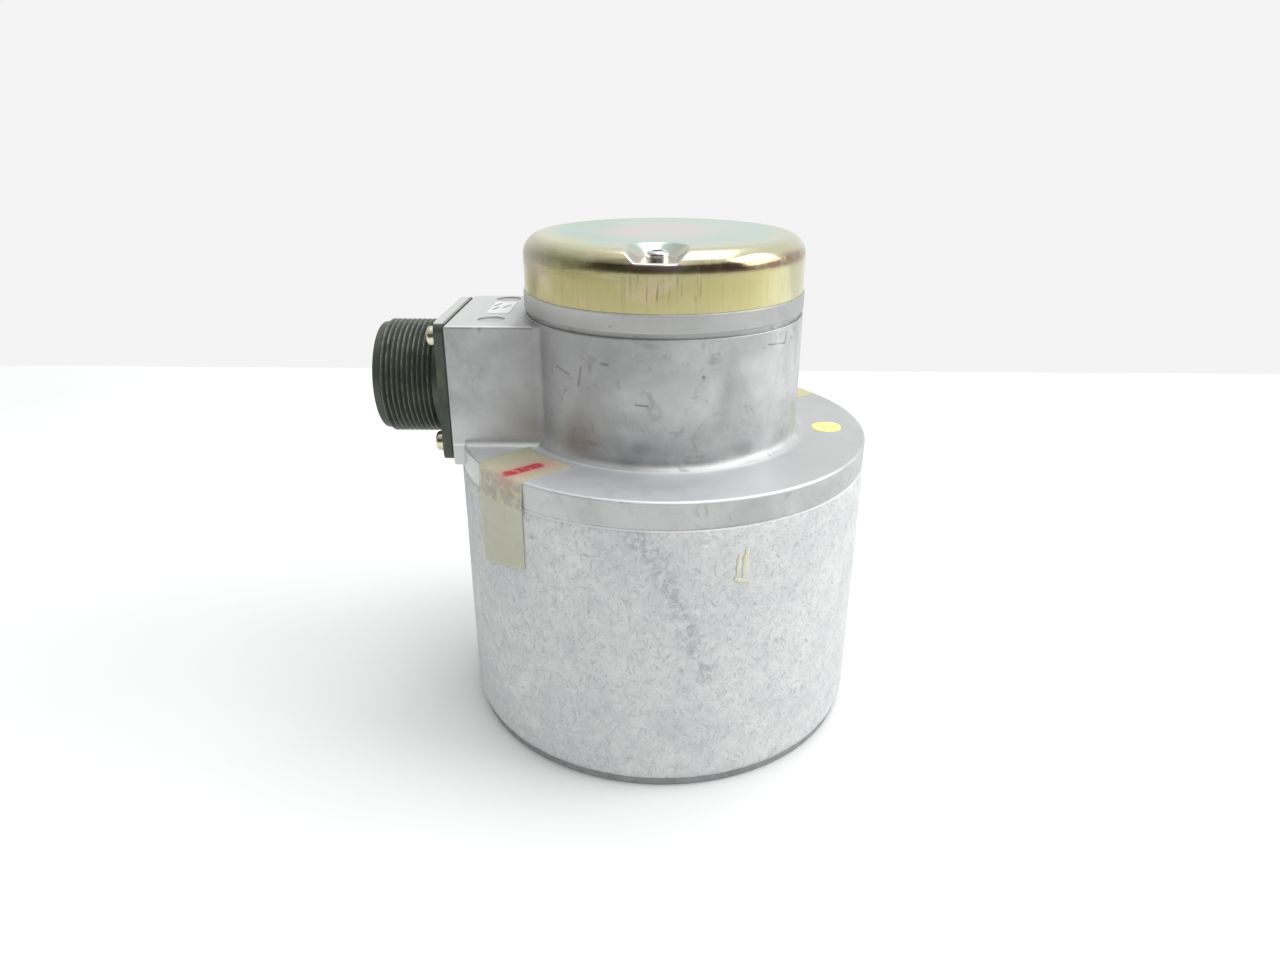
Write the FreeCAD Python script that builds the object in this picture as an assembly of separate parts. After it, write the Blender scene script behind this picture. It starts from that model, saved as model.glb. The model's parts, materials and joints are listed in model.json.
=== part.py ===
import FreeCAD, Part
import math
import os

V = FreeCAD.Vector

# Flanged shaft encoder with its storage tube. Millimetres.
# The origin is on the shaft axis at the mounting face. +Z runs from the shaft end to the cap,
# and the connector points along -X.

# Flange and mounting spigot
FLANGE_R = 57.5
RIM_LOW_Z = 1.0
RIM_TOP_Z = 8.2
RIM_CHAMFER = 0.5
PAD_R = 54.0
PILOT_R = 42.5
PILOT_DEPTH = 4.0
BOLT_CIRCLE_R = 50.0
BOLT_COUNT = 4
BOLT_HOLE_R = 2.1
BOLT_HOLE_DEPTH = 6.5

# Drum of the casting
DRUM_R = 38.1
DRUM_FOOT_FILLET = 3.0
GROOVE_LOW_Z = 41.5
GROOVE_TOP_Z = 42.8
GROOVE_R = 37.2
SHOULDER_Z = 47.5
CAP_SPIGOT_R = 36.8
CAP_SPIGOT_TOP_Z = 53.5
CAVITY_R = 34.6
CAVITY_FLOOR_Z = 10.0
HUB_R = 20.0
HUB_TOP_Z = 31.2
O_RING_R = 36.06
O_RING_SECTION_R = 0.8
O_RING_Z = 50.3
O_RING_GROOVE_R = 35.25
BRACKET_PEDESTAL_X = 25.0

# Connector boss
BOSS_FACE_X = -56.75
BOSS_HALF_W = 20.7
BOSS_LOW_Z = 2.5
BOSS_TOP_Z = 40.7
BOSS_EDGE_R = 0.8
BOSS_SIDE_FILLET = 3.0
BOSS_FOOT_FILLET = 2.0
EJECTOR_MARK_R = 3.6
EJECTOR_MARKS = [(-45.6, -12.3), (-45.4, 15.2)]

# Connector, shell size 20
CONN_Z = 21.9
CONN_THREAD_R = 15.875
CONN_ROOT_R = 15.05
CONN_PITCH = 1.411
CONN_NECK_R = 14.9
CONN_MOUTH_R = 13.6
CONN_INSERT_R = 12.6
CONN_BACK_R = 13.9
CONN_FRONT = 21.9
CONN_BACK = -10.0
GASKET_T = 0.6
PLATE_TOP = 3.0
PLATE_HALF = 19.05
CONN_HOLE_OFFSET = 14.68
INSERT_FACE = 9.5
PIN_R = 0.79
PIN_TOP = 17.4
SOLDER_CUP_R = 1.2
SOLDER_CUP_END = -13.5
WIRE_R = 0.6
WIRE_COLUMN_X = -29.2
WIRE_CROSSING_Z = 56.0
WIRE_BEND_R = 2.5
WASHER_T = 0.7

# Screws: core hole, shank and clearance radii
M3_CORE_R = 1.26
M3_SHANK_R = 1.24
M3_CLEAR_R = 1.65
M25_CORE_R = 1.06
M25_SHANK_R = 1.04

# Cap
CAP_R = 37.75
CAP_TOP_Z = 62.0
CAP_WALL = 0.8
CAP_SHOULDER_R = 5.2
RECESS_AZIMUTH = 267.0
RECESS_DEPTH = 2.8
RECESS_PAD_R = 4.9
RECESS_RIM_R = 7.9
RECESS_FOOT_R = 0.8
RECESS_LIP_R = 0.7
RECESS_PAD_Z = CAP_TOP_Z - RECESS_DEPTH

# Shaft, seal and bearings (12 x 28 x 8)
SHAFT_R = 6.0
SHAFT_END_R = 5.5
SHAFT_END_Z = -34.0
SHAFT_STEP_Z = -5.0
SHAFT_FLAT_X = 5.0
SHAFT_FLAT_TOP_Z = -14.0
SHAFT_COLLAR_R = 7.5
SHAFT_TOP_R = 5.0
SHAFT_TOP_Z = 45.5
SEAL_R = 11.0
SEAL_LOW_Z = -3.8
SEAL_TOP_Z = 1.2
CIRCLIP_LOW_Z = 30.0
CIRCLIP_T = 1.0
BEARING_R = 14.0
BEARING_W = 8.0
FRONT_BEARING_Z = 4.0
REAR_BEARING_Z = 22.0
BALL_R = 2.38
BALL_COUNT = 8
BALL_CIRCLE_R = 10.0
RACEWAY_R = 2.42
INNER_RING_R = 8.4
OUTER_RING_IN_R = 11.6
SHIELD_INSET = 0.6
SHIELD_T = 0.4
SHIELD_R = 12.28
CAGE_IN_R = 9.3
CAGE_OUT_R = 10.7
CAGE_HALF_W = 2.75
BALL_PLAY = 0.05
RETAINER_T = 2.0
RETAINER_SCREW_R = 17.0
PRELOAD_IN_R = 12.0
PRELOAD_OUT_R = 13.6

# Code disc and optics
DISC_HUB_R = 13.5
DISC_R = 24.0
DISC_LOW_Z = 42.0
DISC_TOP_Z = 43.2
DISC_HUB_LOW_Z = 35.0
DISC_HUB_STEP_Z = 39.4
SET_SCREW_Z = 37.2
CLAMP_SCREW_R = 8.6
CLAMP_RING_T = 1.2
OPTIC_R = 21.0
BRACKET_LOW_Z = 34.0
BRACKET_ARM_TOP_Z = 39.5
BRACKET_UPPER_Z = 46.5
BRACKET_TOP_Z = 50.2
BRACKET_HALF_W = 8.0
BRACKET_SCREW_X = 29.5
BRACKET_SCREW_Y = 6.0
BRACKET_SCREW_SEAT_Z = 48.6
LAMP_Z = 48.3
LAMP_LEG_Y = 0.9
LEAD_X = 29.5
LEAD_PLACES_Y = [-1.8, -0.6, 0.6, 1.8]
LEAD_R = 0.25
LEAD_Z = 40.1

# Circuit board
BOARD_R = 33.8
BOARD_LOW_Z = 51.2
BOARD_T = 1.6
BOARD_TOP_Z = BOARD_LOW_Z + BOARD_T
POST_CIRCLE_R = 29.3
POST_AZIMUTHS = [27.0, 147.0]
POST_FOOT_Z = 14.0
POST_FLATS = 5.5
HEADER_X = -23.5
HEADER_HALF_W = 11.6
LEAD_PITCH = 1.27

# Storage tube, tape and labels
TUBE_OUT_R = 57.8
TUBE_IN_R = 54.15
TUBE_LOW_Z = -72.6
PLUG_R = 56.6
PLUG_FOOT_Z = -75.1
PLUG_STEP_R = 54.1
PLUG_TOP_Z = -66.6
TAPE_HALF_W = 9.5
TAPE_T = 0.15
TAPE_SKIN_R = 58.0
TAPE_INNER_R = 41.6
FRONT_TAPE_AZIMUTH = 224.5
FRONT_TAPE_FOOT_Z = -20.0
REAR_TAPE_AZIMUTH = 40.7
REAR_TAPE_FOOT_Z = -16.0
LABEL_LOW_X = -48.4
LABEL_HIGH_X = -42.0
LABEL_LOW_Y = -5.0
LABEL_HIGH_Y = 11.2
STICKER_T = 0.12
DOT_R = 4.2
DOT_X = 46.9
DOT_Y = -3.3


def cylinder(radius, low, high, x=0.0, y=0.0):
    return Part.makeCylinder(radius, high - low, V(x, y, low))


def ring(inner, outer, low, high, x=0.0, y=0.0):
    return cylinder(outer, low, high, x, y).cut(cylinder(inner, low - 1, high + 1, x, y))


def box(x_low, x_high, y_low, y_high, z_low, z_high):
    return Part.makeBox(x_high - x_low, y_high - y_low, z_high - z_low, V(x_low, y_low, z_low))


def polar(radius, azimuth):
    angle = math.radians(azimuth)
    return radius * math.cos(angle), radius * math.sin(angle)


def fuse(shapes):
    return shapes[0].multiFuse(shapes[1:]).removeSplitter()


def cut(base, tools):
    return base.cut(Part.makeCompound(tools))


def outline(corners):
    """Closed wire in the XZ plane through (x, z, corner radius), with tangent arcs."""
    points = [V(x, 0, z) for x, z, radius in corners]
    starts, ends, mids = [], [], []
    for i, (x, z, radius) in enumerate(corners):
        here = points[i]
        back = (points[i - 1] - here).normalize()
        ahead = (points[(i + 1) % len(points)] - here).normalize()
        if radius == 0:
            starts.append(here)
            ends.append(here)
            mids.append(None)
            continue
        half = back.getAngle(ahead) / 2
        reach = radius / math.tan(half)
        centre = here + (back + ahead).normalize() * (radius / math.sin(half))
        starts.append(here + back * reach)
        ends.append(here + ahead * reach)
        mids.append(centre + (here - centre).normalize() * radius)
    edges = []
    for i in range(len(points)):
        if mids[i] is not None:
            edges.append(Part.Arc(starts[i], mids[i], ends[i]).toShape())
        following = starts[(i + 1) % len(points)]
        if ends[i].distanceToPoint(following) > 1e-6:
            edges.append(Part.makeLine(ends[i], following))
    return Part.Wire(edges)


def turned(corners):
    """Solid of revolution about Z from (radius, z, corner radius) points."""
    return Part.Face(outline(corners)).revolve(V(0, 0, 0), V(0, 0, 1), 360)


def sharp(points):
    return [(x, z, 0) for x, z in points]


def cover_post_place():
    return polar(POST_CIRCLE_R, RECESS_AZIMUTH)


def board_screw_places():
    return [polar(POST_CIRCLE_R, azimuth) for azimuth in POST_AZIMUTHS]


def post_places():
    return [cover_post_place()] + board_screw_places()


def around(shape, count, start=0.0):
    copies = []
    for i in range(count):
        copy = shape.copy()
        copy.rotate(V(0, 0, 0), V(0, 0, 1), start + 360.0 * i / count)
        copies.append(copy)
    return copies


def on_boss(shape):
    """Carry a piece from the connector's own frame (+Z out of the boss face) to its place."""
    placed = shape.copy()
    placed.rotate(V(0, 0, 0), V(0, 1, 0), -90)
    placed.translate(V(BOSS_FACE_X, 0, CONN_Z))
    return placed


def save(name, shape):
    shape.exportStep(f"parts/{name}.step")
    print(name, len(shape.Solids), "solids", round(shape.Volume / 1000, 2), "cm3", shape.isValid())


def hexagon(across_flats, low, high, x, y):
    corners = [polar(across_flats / math.sqrt(3), 30 + 60 * i) for i in range(7)]
    wire = Part.makePolygon([V(x + a, y + b, low) for a, b in corners])
    return Part.Face(wire).extrude(V(0, 0, high - low))


def pan_screw(shank_r, head_r, head_h, seat, tip):
    """Cross-recessed pan-head screw along Z, its head above the seat."""
    crown = seat + head_h
    head = turned([(0, seat, 0), (head_r, seat, 0), (head_r, crown, head_h * 0.55), (0, crown, 0)])
    shank = cylinder(shank_r, tip, seat + 0.1)
    reach = head_r * 0.58
    width = head_r * 0.17
    floor = seat + head_h * 0.4
    recess = [
        box(-reach, reach, -width, width, floor, crown + 1),
        box(-width, width, -reach, reach, floor, crown + 1),
    ]
    return fuse([head, shank]).cut(fuse(recess))


def spring_washer(inner, outer, low, high):
    slit = box(0, outer + 1, -0.25, 0.25, low - 1, high + 1)
    return ring(inner, outer, low, high).cut(slit)


def at(shape, x, y, z=0.0, turn=0.0):
    placed = shape.copy()
    placed.rotate(V(0, 0, 0), V(0, 0, 1), turn)
    placed.translate(V(x, y, z))
    return placed


# ---------------------------------------------------------------- casting


def boss_block():
    block = box(BOSS_FACE_X, -20, -BOSS_HALF_W, BOSS_HALF_W, BOSS_LOW_Z, BOSS_TOP_Z)
    rounded = []
    for edge in block.Edges:
        centre = edge.CenterOfMass
        outer_end = centre.x < -21
        on_skin = abs(centre.z - BOSS_TOP_Z) < 0.01 or centre.x < BOSS_FACE_X + 0.01
        if outer_end and on_skin:
            rounded.append(edge)
    return block.makeFillet(BOSS_EDGE_R, rounded)


def boss_side_fillet(side):
    """Concave fillet between a flat side of the boss and the drum."""
    radius = BOSS_SIDE_FILLET
    centre_y = BOSS_HALF_W + radius
    reach = DRUM_R + radius
    centre = V(-math.sqrt(reach**2 - centre_y**2), side * centre_y, BOSS_LOW_Z + 2)
    on_side = V(centre.x, side * BOSS_HALF_W, centre.z)
    on_drum = V(centre.x * DRUM_R / reach, centre.y * DRUM_R / reach, centre.z)
    middle = centre + ((on_side + on_drum) * 0.5 - centre).normalize() * radius
    inside = V(-28, side * 18, centre.z)
    edges = [
        Part.Arc(on_side, middle, on_drum).toShape(),
        Part.makeLine(on_drum, inside),
        Part.makeLine(inside, on_side),
    ]
    height = BOSS_TOP_Z - centre.z
    return Part.Face(Part.Wire(edges)).extrude(V(0, 0, height))


def boss_foot_fillet(side):
    """Concave fillet between a flat side of the boss and the top of the flange."""
    radius = BOSS_FOOT_FILLET
    x = -54.0
    on_side = V(x, side * BOSS_HALF_W, RIM_TOP_Z + radius)
    on_rim = V(x, side * (BOSS_HALF_W + radius), RIM_TOP_Z)
    centre = V(x, side * (BOSS_HALF_W + radius), RIM_TOP_Z + radius)
    middle = centre + ((on_side + on_rim) * 0.5 - centre).normalize() * radius
    inside = V(x, side * (BOSS_HALF_W - 1), RIM_TOP_Z - 1)
    edges = [
        Part.Arc(on_side, middle, on_rim).toShape(),
        Part.makeLine(on_rim, inside),
        Part.makeLine(inside, on_side),
    ]
    bar = Part.Face(Part.Wire(edges)).extrude(V(24, 0, 0))
    return bar.common(cylinder(FLANGE_R - RIM_CHAMFER, 0, 20))


def body_casting():
    outside = turned([
        (0, -PILOT_DEPTH, 0),
        (PILOT_R, -PILOT_DEPTH, 0.5),
        (PILOT_R, 0, 0),
        (PAD_R, 0, 0),
        (PAD_R, RIM_LOW_Z, 0),
        (FLANGE_R, RIM_LOW_Z, 0.3),
        (FLANGE_R, RIM_TOP_Z - RIM_CHAMFER, 0),
        (FLANGE_R - RIM_CHAMFER, RIM_TOP_Z, 0),
        (DRUM_R, RIM_TOP_Z, DRUM_FOOT_FILLET),
        (DRUM_R, GROOVE_LOW_Z, 0.3),
        (GROOVE_R, GROOVE_LOW_Z, 0),
        (GROOVE_R, GROOVE_TOP_Z, 0),
        (DRUM_R, GROOVE_TOP_Z, 0.3),
        (DRUM_R, SHOULDER_Z, 0.3),
        (CAP_SPIGOT_R, SHOULDER_Z, 0),
        (CAP_SPIGOT_R, CAP_SPIGOT_TOP_Z, 0.4),
        (0, CAP_SPIGOT_TOP_Z, 0),
    ])
    outside = fuse(
        [outside, boss_block()]
        + [boss_side_fillet(side) for side in (-1, 1)]
        + [boss_foot_fillet(side) for side in (-1, 1)]
    )
    cavity = turned([
        (0, HUB_TOP_Z, 0),
        (HUB_R, HUB_TOP_Z, 0),
        (HUB_R, CAVITY_FLOOR_Z, 1.5),
        (CAVITY_R, CAVITY_FLOOR_Z, 1.5),
        (CAVITY_R, CAP_SPIGOT_TOP_Z + 1, 0),
        (0, CAP_SPIGOT_TOP_Z + 1, 0),
    ])
    bore = turned(sharp([
        (0, -PILOT_DEPTH - 1),
        (SEAL_R, -PILOT_DEPTH - 1),
        (SEAL_R, SEAL_TOP_Z),
        (SHAFT_COLLAR_R + 0.5, SEAL_TOP_Z),
        (SHAFT_COLLAR_R + 0.5, 3.0),
        (12.0, 3.0),
        (12.0, FRONT_BEARING_Z),
        (BEARING_R, FRONT_BEARING_Z),
        (BEARING_R, HUB_TOP_Z + 1),
        (0, HUB_TOP_Z + 1),
    ]))
    o_ring_groove = ring(O_RING_GROOVE_R, CAP_SPIGOT_R + 1, O_RING_Z - 0.9, O_RING_Z + 0.9)
    wire_pocket = on_boss(cylinder(15.5, -29, -4.75))
    connector_hole = on_boss(cylinder(CONN_BACK_R + 0.3, -6, 1))
    milled_face = box(BOSS_FACE_X - 5, BOSS_FACE_X, -30, 30, -1, BOSS_TOP_Z + 1)
    cavities = [cavity, bore, o_ring_groove, wire_pocket, connector_hole, milled_face]
    for x, y in EJECTOR_MARKS:
        cavities.append(cylinder(EJECTOR_MARK_R, BOSS_TOP_Z - 0.35, BOSS_TOP_Z + 1, x, y))
    body = cut(outside, cavities)

    pedestal = box(BRACKET_PEDESTAL_X, 36, -9, 9, CAVITY_FLOOR_Z - 1, BRACKET_LOW_Z)
    pedestal = pedestal.common(cylinder(CAVITY_R + 0.5, 0, 60))
    feet = [cylinder(4.5, CAVITY_FLOOR_Z - 1, POST_FOOT_Z, x, y) for x, y in post_places()]
    body = fuse([body, pedestal] + feet)

    holes = [cylinder(M3_CORE_R, 8, POST_FOOT_Z + 1, x, y) for x, y in post_places()]
    holes += [cylinder(M25_CORE_R, 24.5, 40, BRACKET_SCREW_X, y) for y in bracket_screw_sides()]
    holes += around(cylinder(M25_CORE_R, HUB_TOP_Z - 7, 40, RETAINER_SCREW_R, 0), 3, 60)
    holes += around(cylinder(BOLT_HOLE_R, -1, BOLT_HOLE_DEPTH, BOLT_CIRCLE_R, 0), BOLT_COUNT, 45)
    for x, y in connector_corners():
        holes.append(on_boss(cylinder(M3_CORE_R, -9, 1, x, y)))
    return cut(body, holes)


# -------------------------------------------------------------- connector


def connector_corners():
    offset = CONN_HOLE_OFFSET
    return [(offset, offset), (offset, -offset), (-offset, offset), (-offset, -offset)]


def square_plate(low, high, corner):
    plate = box(-PLATE_HALF, PLATE_HALF, -PLATE_HALF, PLATE_HALF, low, high)
    upright = [e for e in plate.Edges if abs(e.CenterOfMass.z - (low + high) / 2) < 0.01]
    return plate.makeFillet(corner, upright)


def connector_shell():
    profile = [
        (CONN_INSERT_R, CONN_BACK, 0),
        (CONN_BACK_R, CONN_BACK, 0.3),
        (CONN_BACK_R, GASKET_T, 0),
        (17.5, GASKET_T, 0),
        (17.5, PLATE_TOP, 0),
        (CONN_NECK_R, PLATE_TOP, 0.5),
        (CONN_NECK_R, PLATE_TOP + 2.8, 0),
    ]
    z = PLATE_TOP + 2.8
    profile.append((CONN_ROOT_R, z, 0))
    while z + CONN_PITCH < CONN_FRONT - 0.9:
        profile.append((CONN_THREAD_R, z + 0.49 * CONN_PITCH, 0))
        profile.append((CONN_THREAD_R, z + 0.62 * CONN_PITCH, 0))
        profile.append((CONN_ROOT_R, z + CONN_PITCH, 0))
        z += CONN_PITCH
    profile += [
        (CONN_ROOT_R, CONN_FRONT, 0.5),
        (CONN_MOUTH_R, CONN_FRONT, 0.3),
        (CONN_MOUTH_R, INSERT_FACE - 0.5, 0),
        (CONN_INSERT_R, INSERT_FACE - 0.5, 0),
    ]
    barrel = turned(profile)
    plate = square_plate(GASKET_T, PLATE_TOP, 2.6)
    holes = [cylinder(M3_CLEAR_R, -1, 5, x, y) for x, y in connector_corners()]
    keyway = box(CONN_MOUTH_R - 1, CONN_MOUTH_R + 0.7, -1.6, 1.6, INSERT_FACE + 1, CONN_FRONT + 1)
    plate = plate.cut(cylinder(CONN_NECK_R - 0.5, -1, 5))
    return on_boss(cut(fuse([barrel, plate]), holes + [keyway]))


def contact_places():
    """Seventeen contacts: one at the centre, five round it and eleven in the outer ring."""
    places = [(0.0, 0.0)]
    places += [polar(4.9, 72 * i) for i in range(5)]
    places += [polar(10.0, 360 / 11 * i) for i in range(11)]
    return places


def connector_insert():
    body = cylinder(CONN_INSERT_R - 0.05, CONN_BACK + 0.5, INSERT_FACE)
    bores = [cylinder(PIN_R + 0.01, CONN_BACK - 1, INSERT_FACE + 1, x, y) for x, y in contact_places()]
    return on_boss(cut(body, bores))


def connector_pins():
    pins = []
    for x, y in contact_places():
        pin = turned([
            (0, CONN_BACK + 0.5, 0),
            (PIN_R, CONN_BACK + 0.5, 0),
            (PIN_R, PIN_TOP, 0.5),
            (0, PIN_TOP, 0),
        ])
        cup = cylinder(SOLDER_CUP_R, SOLDER_CUP_END, CONN_BACK + 0.5)
        cup = cup.cut(cylinder(WIRE_R + 0.05, SOLDER_CUP_END - 1, SOLDER_CUP_END + 2))
        pins.append(on_boss(at(fuse([pin, cup]), x, y)))
    return Part.makeCompound(pins)


def connector_gasket():
    sheet = square_plate(0, GASKET_T, 2.6)
    holes = [cylinder(CONN_BACK_R + 0.3, -1, 2)]
    holes += [cylinder(M3_CLEAR_R, -1, 2, x, y) for x, y in connector_corners()]
    return on_boss(cut(sheet, holes))


def connector_screws():
    screw = pan_screw(M3_SHANK_R, 2.75, 1.9, PLATE_TOP + WASHER_T, -8.0)
    turns = (12, 48, -25, 70)
    return Part.makeCompound([
        on_boss(at(screw, x, y, 0, turn)) for (x, y), turn in zip(connector_corners(), turns)
    ])


def connector_spring_washers():
    washer = spring_washer(1.5, 2.65, PLATE_TOP, PLATE_TOP + WASHER_T)
    turns = (100, 190, -40, 20)
    return Part.makeCompound([
        on_boss(at(washer, x, y, 0, turn)) for (x, y), turn in zip(connector_corners(), turns)
    ])


def rounded_route(points, radius):
    """Wire of straight runs joined by tangent arcs."""
    edges = []
    cursor = points[0]
    for before, corner, after in zip(points, points[1:], points[2:]):
        back = (before - corner).normalize()
        ahead = (after - corner).normalize()
        half = back.getAngle(ahead) / 2
        reach = radius / math.tan(half)
        centre = corner + (back + ahead).normalize() * (radius / math.sin(half))
        middle = centre + (corner - centre).normalize() * radius
        edges.append(Part.makeLine(cursor, corner + back * reach))
        edges.append(Part.Arc(corner + back * reach, middle, corner + ahead * reach).toShape())
        cursor = corner + ahead * reach
    edges.append(Part.makeLine(cursor, points[-1]))
    return Part.Wire(edges)


def tube_along(route, radius):
    start = route.Edges[0].valueAt(route.Edges[0].FirstParameter)
    direction = route.Edges[0].tangentAt(route.Edges[0].FirstParameter)
    section = Part.Wire(Part.makeCircle(radius, start, direction))
    tube = route.makePipeShell([section], True, True)
    expected = math.pi * radius**2 * route.Length
    print("  run of", round(route.Length, 1), "mm, volume ratio", round(tube.Volume / expected, 4))
    return tube


def wired_contacts():
    """The eight outer contacts whose wires rise side by side without crossing."""
    return [place for place in contact_places()[6:] if abs(place[1]) < 8.5 or abs(place[1]) > 9.5][1:]


def signal_wires():
    wires = []
    for up, side in wired_contacts():
        z = CONN_Z + up
        start = BOSS_FACE_X - SOLDER_CUP_END - 1.5
        points = [
            V(start, side, z),
            V(WIRE_COLUMN_X, side, z),
            V(WIRE_COLUMN_X, side, WIRE_CROSSING_Z),
            V(HEADER_X, side, WIRE_CROSSING_Z),
        ]
        wires.append(tube_along(rounded_route(points, WIRE_BEND_R), WIRE_R))
    return Part.makeCompound(wires)


# ------------------------------------------------------------------- cap


def cap_form(radius, top, low, shoulder):
    return turned([(0, low, 0), (radius, low, 0), (radius, top, shoulder), (0, top, 0)])


def recess_form(pad_r, rim_r, pad_z, rim_z, foot_r):
    """Tapered recess, round at its inner end and running out through the shoulder."""
    high = rim_z + 4
    high_r = pad_r + (rim_r - pad_r) / (rim_z - pad_z) * (high - pad_z)
    inner_end = turned([(0, pad_z, 0), (pad_r, pad_z, foot_r), (high_r, high, 0), (0, high, 0)])
    section = outline([
        (-pad_r, pad_z, foot_r),
        (pad_r, pad_z, foot_r),
        (high_r, high, 0),
        (-high_r, high, 0),
    ])
    channel = Part.Face(section).extrude(V(0, -12, 0))
    return at(fuse([inner_end, channel]), *cover_post_place(), 0, RECESS_AZIMUTH - 270)


def rear_cover():
    """Drawn cap with one screw recess pressed into its edge."""
    outer = cap_form(CAP_R, CAP_TOP_Z, SHOULDER_Z, CAP_SHOULDER_R)
    inner = cap_form(CAP_R - CAP_WALL, CAP_TOP_Z - CAP_WALL, SHOULDER_Z - 1, CAP_SHOULDER_R - CAP_WALL)
    recess = recess_form(RECESS_PAD_R, RECESS_RIM_R, RECESS_PAD_Z, CAP_TOP_Z, RECESS_FOOT_R)
    swelling = recess_form(
        RECESS_PAD_R + CAP_WALL,
        RECESS_RIM_R + CAP_WALL,
        RECESS_PAD_Z - CAP_WALL,
        CAP_TOP_Z - CAP_WALL,
        RECESS_FOOT_R,
    )
    pressed = outer.cut(recess)
    skin = outer.Shells[0]
    lip = []
    for edge in pressed.Edges:
        middle = edge.valueAt((edge.FirstParameter + edge.LastParameter) / 2)
        spot = Part.Vertex(middle)
        on_both = spot.distToShape(skin)[0] < 1e-3 and spot.distToShape(recess.Shells[0])[0] < 1e-3
        if on_both and middle.z > RECESS_PAD_Z - 0.5:
            lip.append(edge)
    pressed = pressed.makeFillet(RECESS_LIP_R, lip)
    hole = cylinder(M3_CLEAR_R, RECESS_PAD_Z - 3, RECESS_PAD_Z + 3, *cover_post_place())
    return pressed.cut(inner.cut(swelling)).cut(hole)


def cover_screw():
    screw = pan_screw(M3_SHANK_R, 2.8, 1.9, RECESS_PAD_Z, RECESS_PAD_Z - 6.0)
    return at(screw, *cover_post_place(), 0, 64)


def cover_o_ring():
    return Part.makeTorus(O_RING_R, O_RING_SECTION_R, V(0, 0, O_RING_Z))


# -------------------------------------------------- seal, bearings, shaft


def shaft_seal():
    profile = [
        (SEAL_R, SEAL_LOW_Z, 0.4),
        (SEAL_R, SEAL_TOP_Z, 0),
        (9.6, SEAL_TOP_Z, 0),
        (9.6, SEAL_LOW_Z + 1.4, 0),
        (7.9, SEAL_LOW_Z + 1.4, 0),
        (7.9, SEAL_TOP_Z - 0.8, 0),
        (6.9, SEAL_TOP_Z - 0.8, 0),
        (SHAFT_R + 0.06, SEAL_TOP_Z - 2.0, 0),
        (SHAFT_R + 0.06, SEAL_TOP_Z - 2.4, 0),
        (7.0, SEAL_LOW_Z, 0),
    ]
    return turned(profile)


def garter_spring():
    return Part.makeTorus(8.45, 0.5, V(0, 0, SEAL_TOP_Z - 1.6))


def raceway(z):
    return Part.makeTorus(BALL_CIRCLE_R, RACEWAY_R, V(0, 0, z + BEARING_W / 2))


def bearing_outer_ring(z):
    profile = [
        (OUTER_RING_IN_R, z, 0),
        (BEARING_R - 0.01, z, 0.4),
        (BEARING_R - 0.01, z + BEARING_W, 0.4),
        (OUTER_RING_IN_R, z + BEARING_W, 0),
    ]
    depth = SHIELD_INSET + SHIELD_T
    seat_r = SHIELD_R + 0.02
    seats = [
        ring(OUTER_RING_IN_R - 1, seat_r, z - 1, z + depth),
        ring(OUTER_RING_IN_R - 1, seat_r, z + BEARING_W - depth, z + BEARING_W + 1),
    ]
    return cut(turned(profile), [raceway(z)] + seats)


def bearing_inner_ring(z):
    profile = [
        (SHAFT_R + 0.01, z, 0),
        (INNER_RING_R, z, 0.3),
        (INNER_RING_R, z + BEARING_W, 0.3),
        (SHAFT_R + 0.01, z + BEARING_W, 0),
    ]
    return turned(profile).cut(raceway(z))


def bearing_shields(z):
    lower = ring(INNER_RING_R + 0.4, SHIELD_R, z + SHIELD_INSET, z + SHIELD_INSET + SHIELD_T)
    upper = at(lower, 0, 0, BEARING_W - 2 * SHIELD_INSET - SHIELD_T)
    return Part.makeCompound([lower, upper])


def bearing_balls(z):
    ball = Part.makeSphere(BALL_R, V(BALL_CIRCLE_R, 0, z + BEARING_W / 2))
    return Part.makeCompound(around(ball, BALL_COUNT))


def bearing_cage(z):
    middle = z + BEARING_W / 2
    ribbon = ring(CAGE_IN_R, CAGE_OUT_R, middle - CAGE_HALF_W, middle + CAGE_HALF_W)
    pocket = Part.makeCylinder(BALL_R + BALL_PLAY, 4, V(BALL_CIRCLE_R - 2, 0, middle), V(1, 0, 0))
    return cut(ribbon, around(pocket, BALL_COUNT))


def shaft():
    body = turned([
        (0, SHAFT_END_Z, 0),
        (SHAFT_END_R, SHAFT_END_Z, 0.6),
        (SHAFT_END_R, SHAFT_STEP_Z, 0),
        (SHAFT_R, SHAFT_STEP_Z, 0.3),
        (SHAFT_R, 1.6, 0),
        (SHAFT_COLLAR_R, 1.6, 0.2),
        (SHAFT_COLLAR_R, FRONT_BEARING_Z, 0),
        (SHAFT_R, FRONT_BEARING_Z, 0),
        (SHAFT_R, HUB_TOP_Z + 1.2, 0.3),
        (SHAFT_TOP_R, HUB_TOP_Z + 1.2, 0),
        (SHAFT_TOP_R, SHAFT_TOP_Z, 0.4),
        (0, SHAFT_TOP_Z, 0),
    ])
    groove = ring(5.5, SHAFT_R + 1, CIRCLIP_LOW_Z, CIRCLIP_LOW_Z + CIRCLIP_T + 0.1)
    flat = box(SHAFT_FLAT_X, 7, -7, 7, SHAFT_END_Z - 1, SHAFT_FLAT_TOP_Z)
    centre_hole = Part.makeCone(2.2, 0, 2.2, V(0, 0, SHAFT_END_Z))
    return cut(body, [groove, flat, centre_hole])


def retaining_ring():
    body = ring(5.52, 7.4, CIRCLIP_LOW_Z, CIRCLIP_LOW_Z + CIRCLIP_T)
    return body.cut(box(0, 9, -2.2, 2.2, CIRCLIP_LOW_Z - 1, CIRCLIP_LOW_Z + 2))


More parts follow.
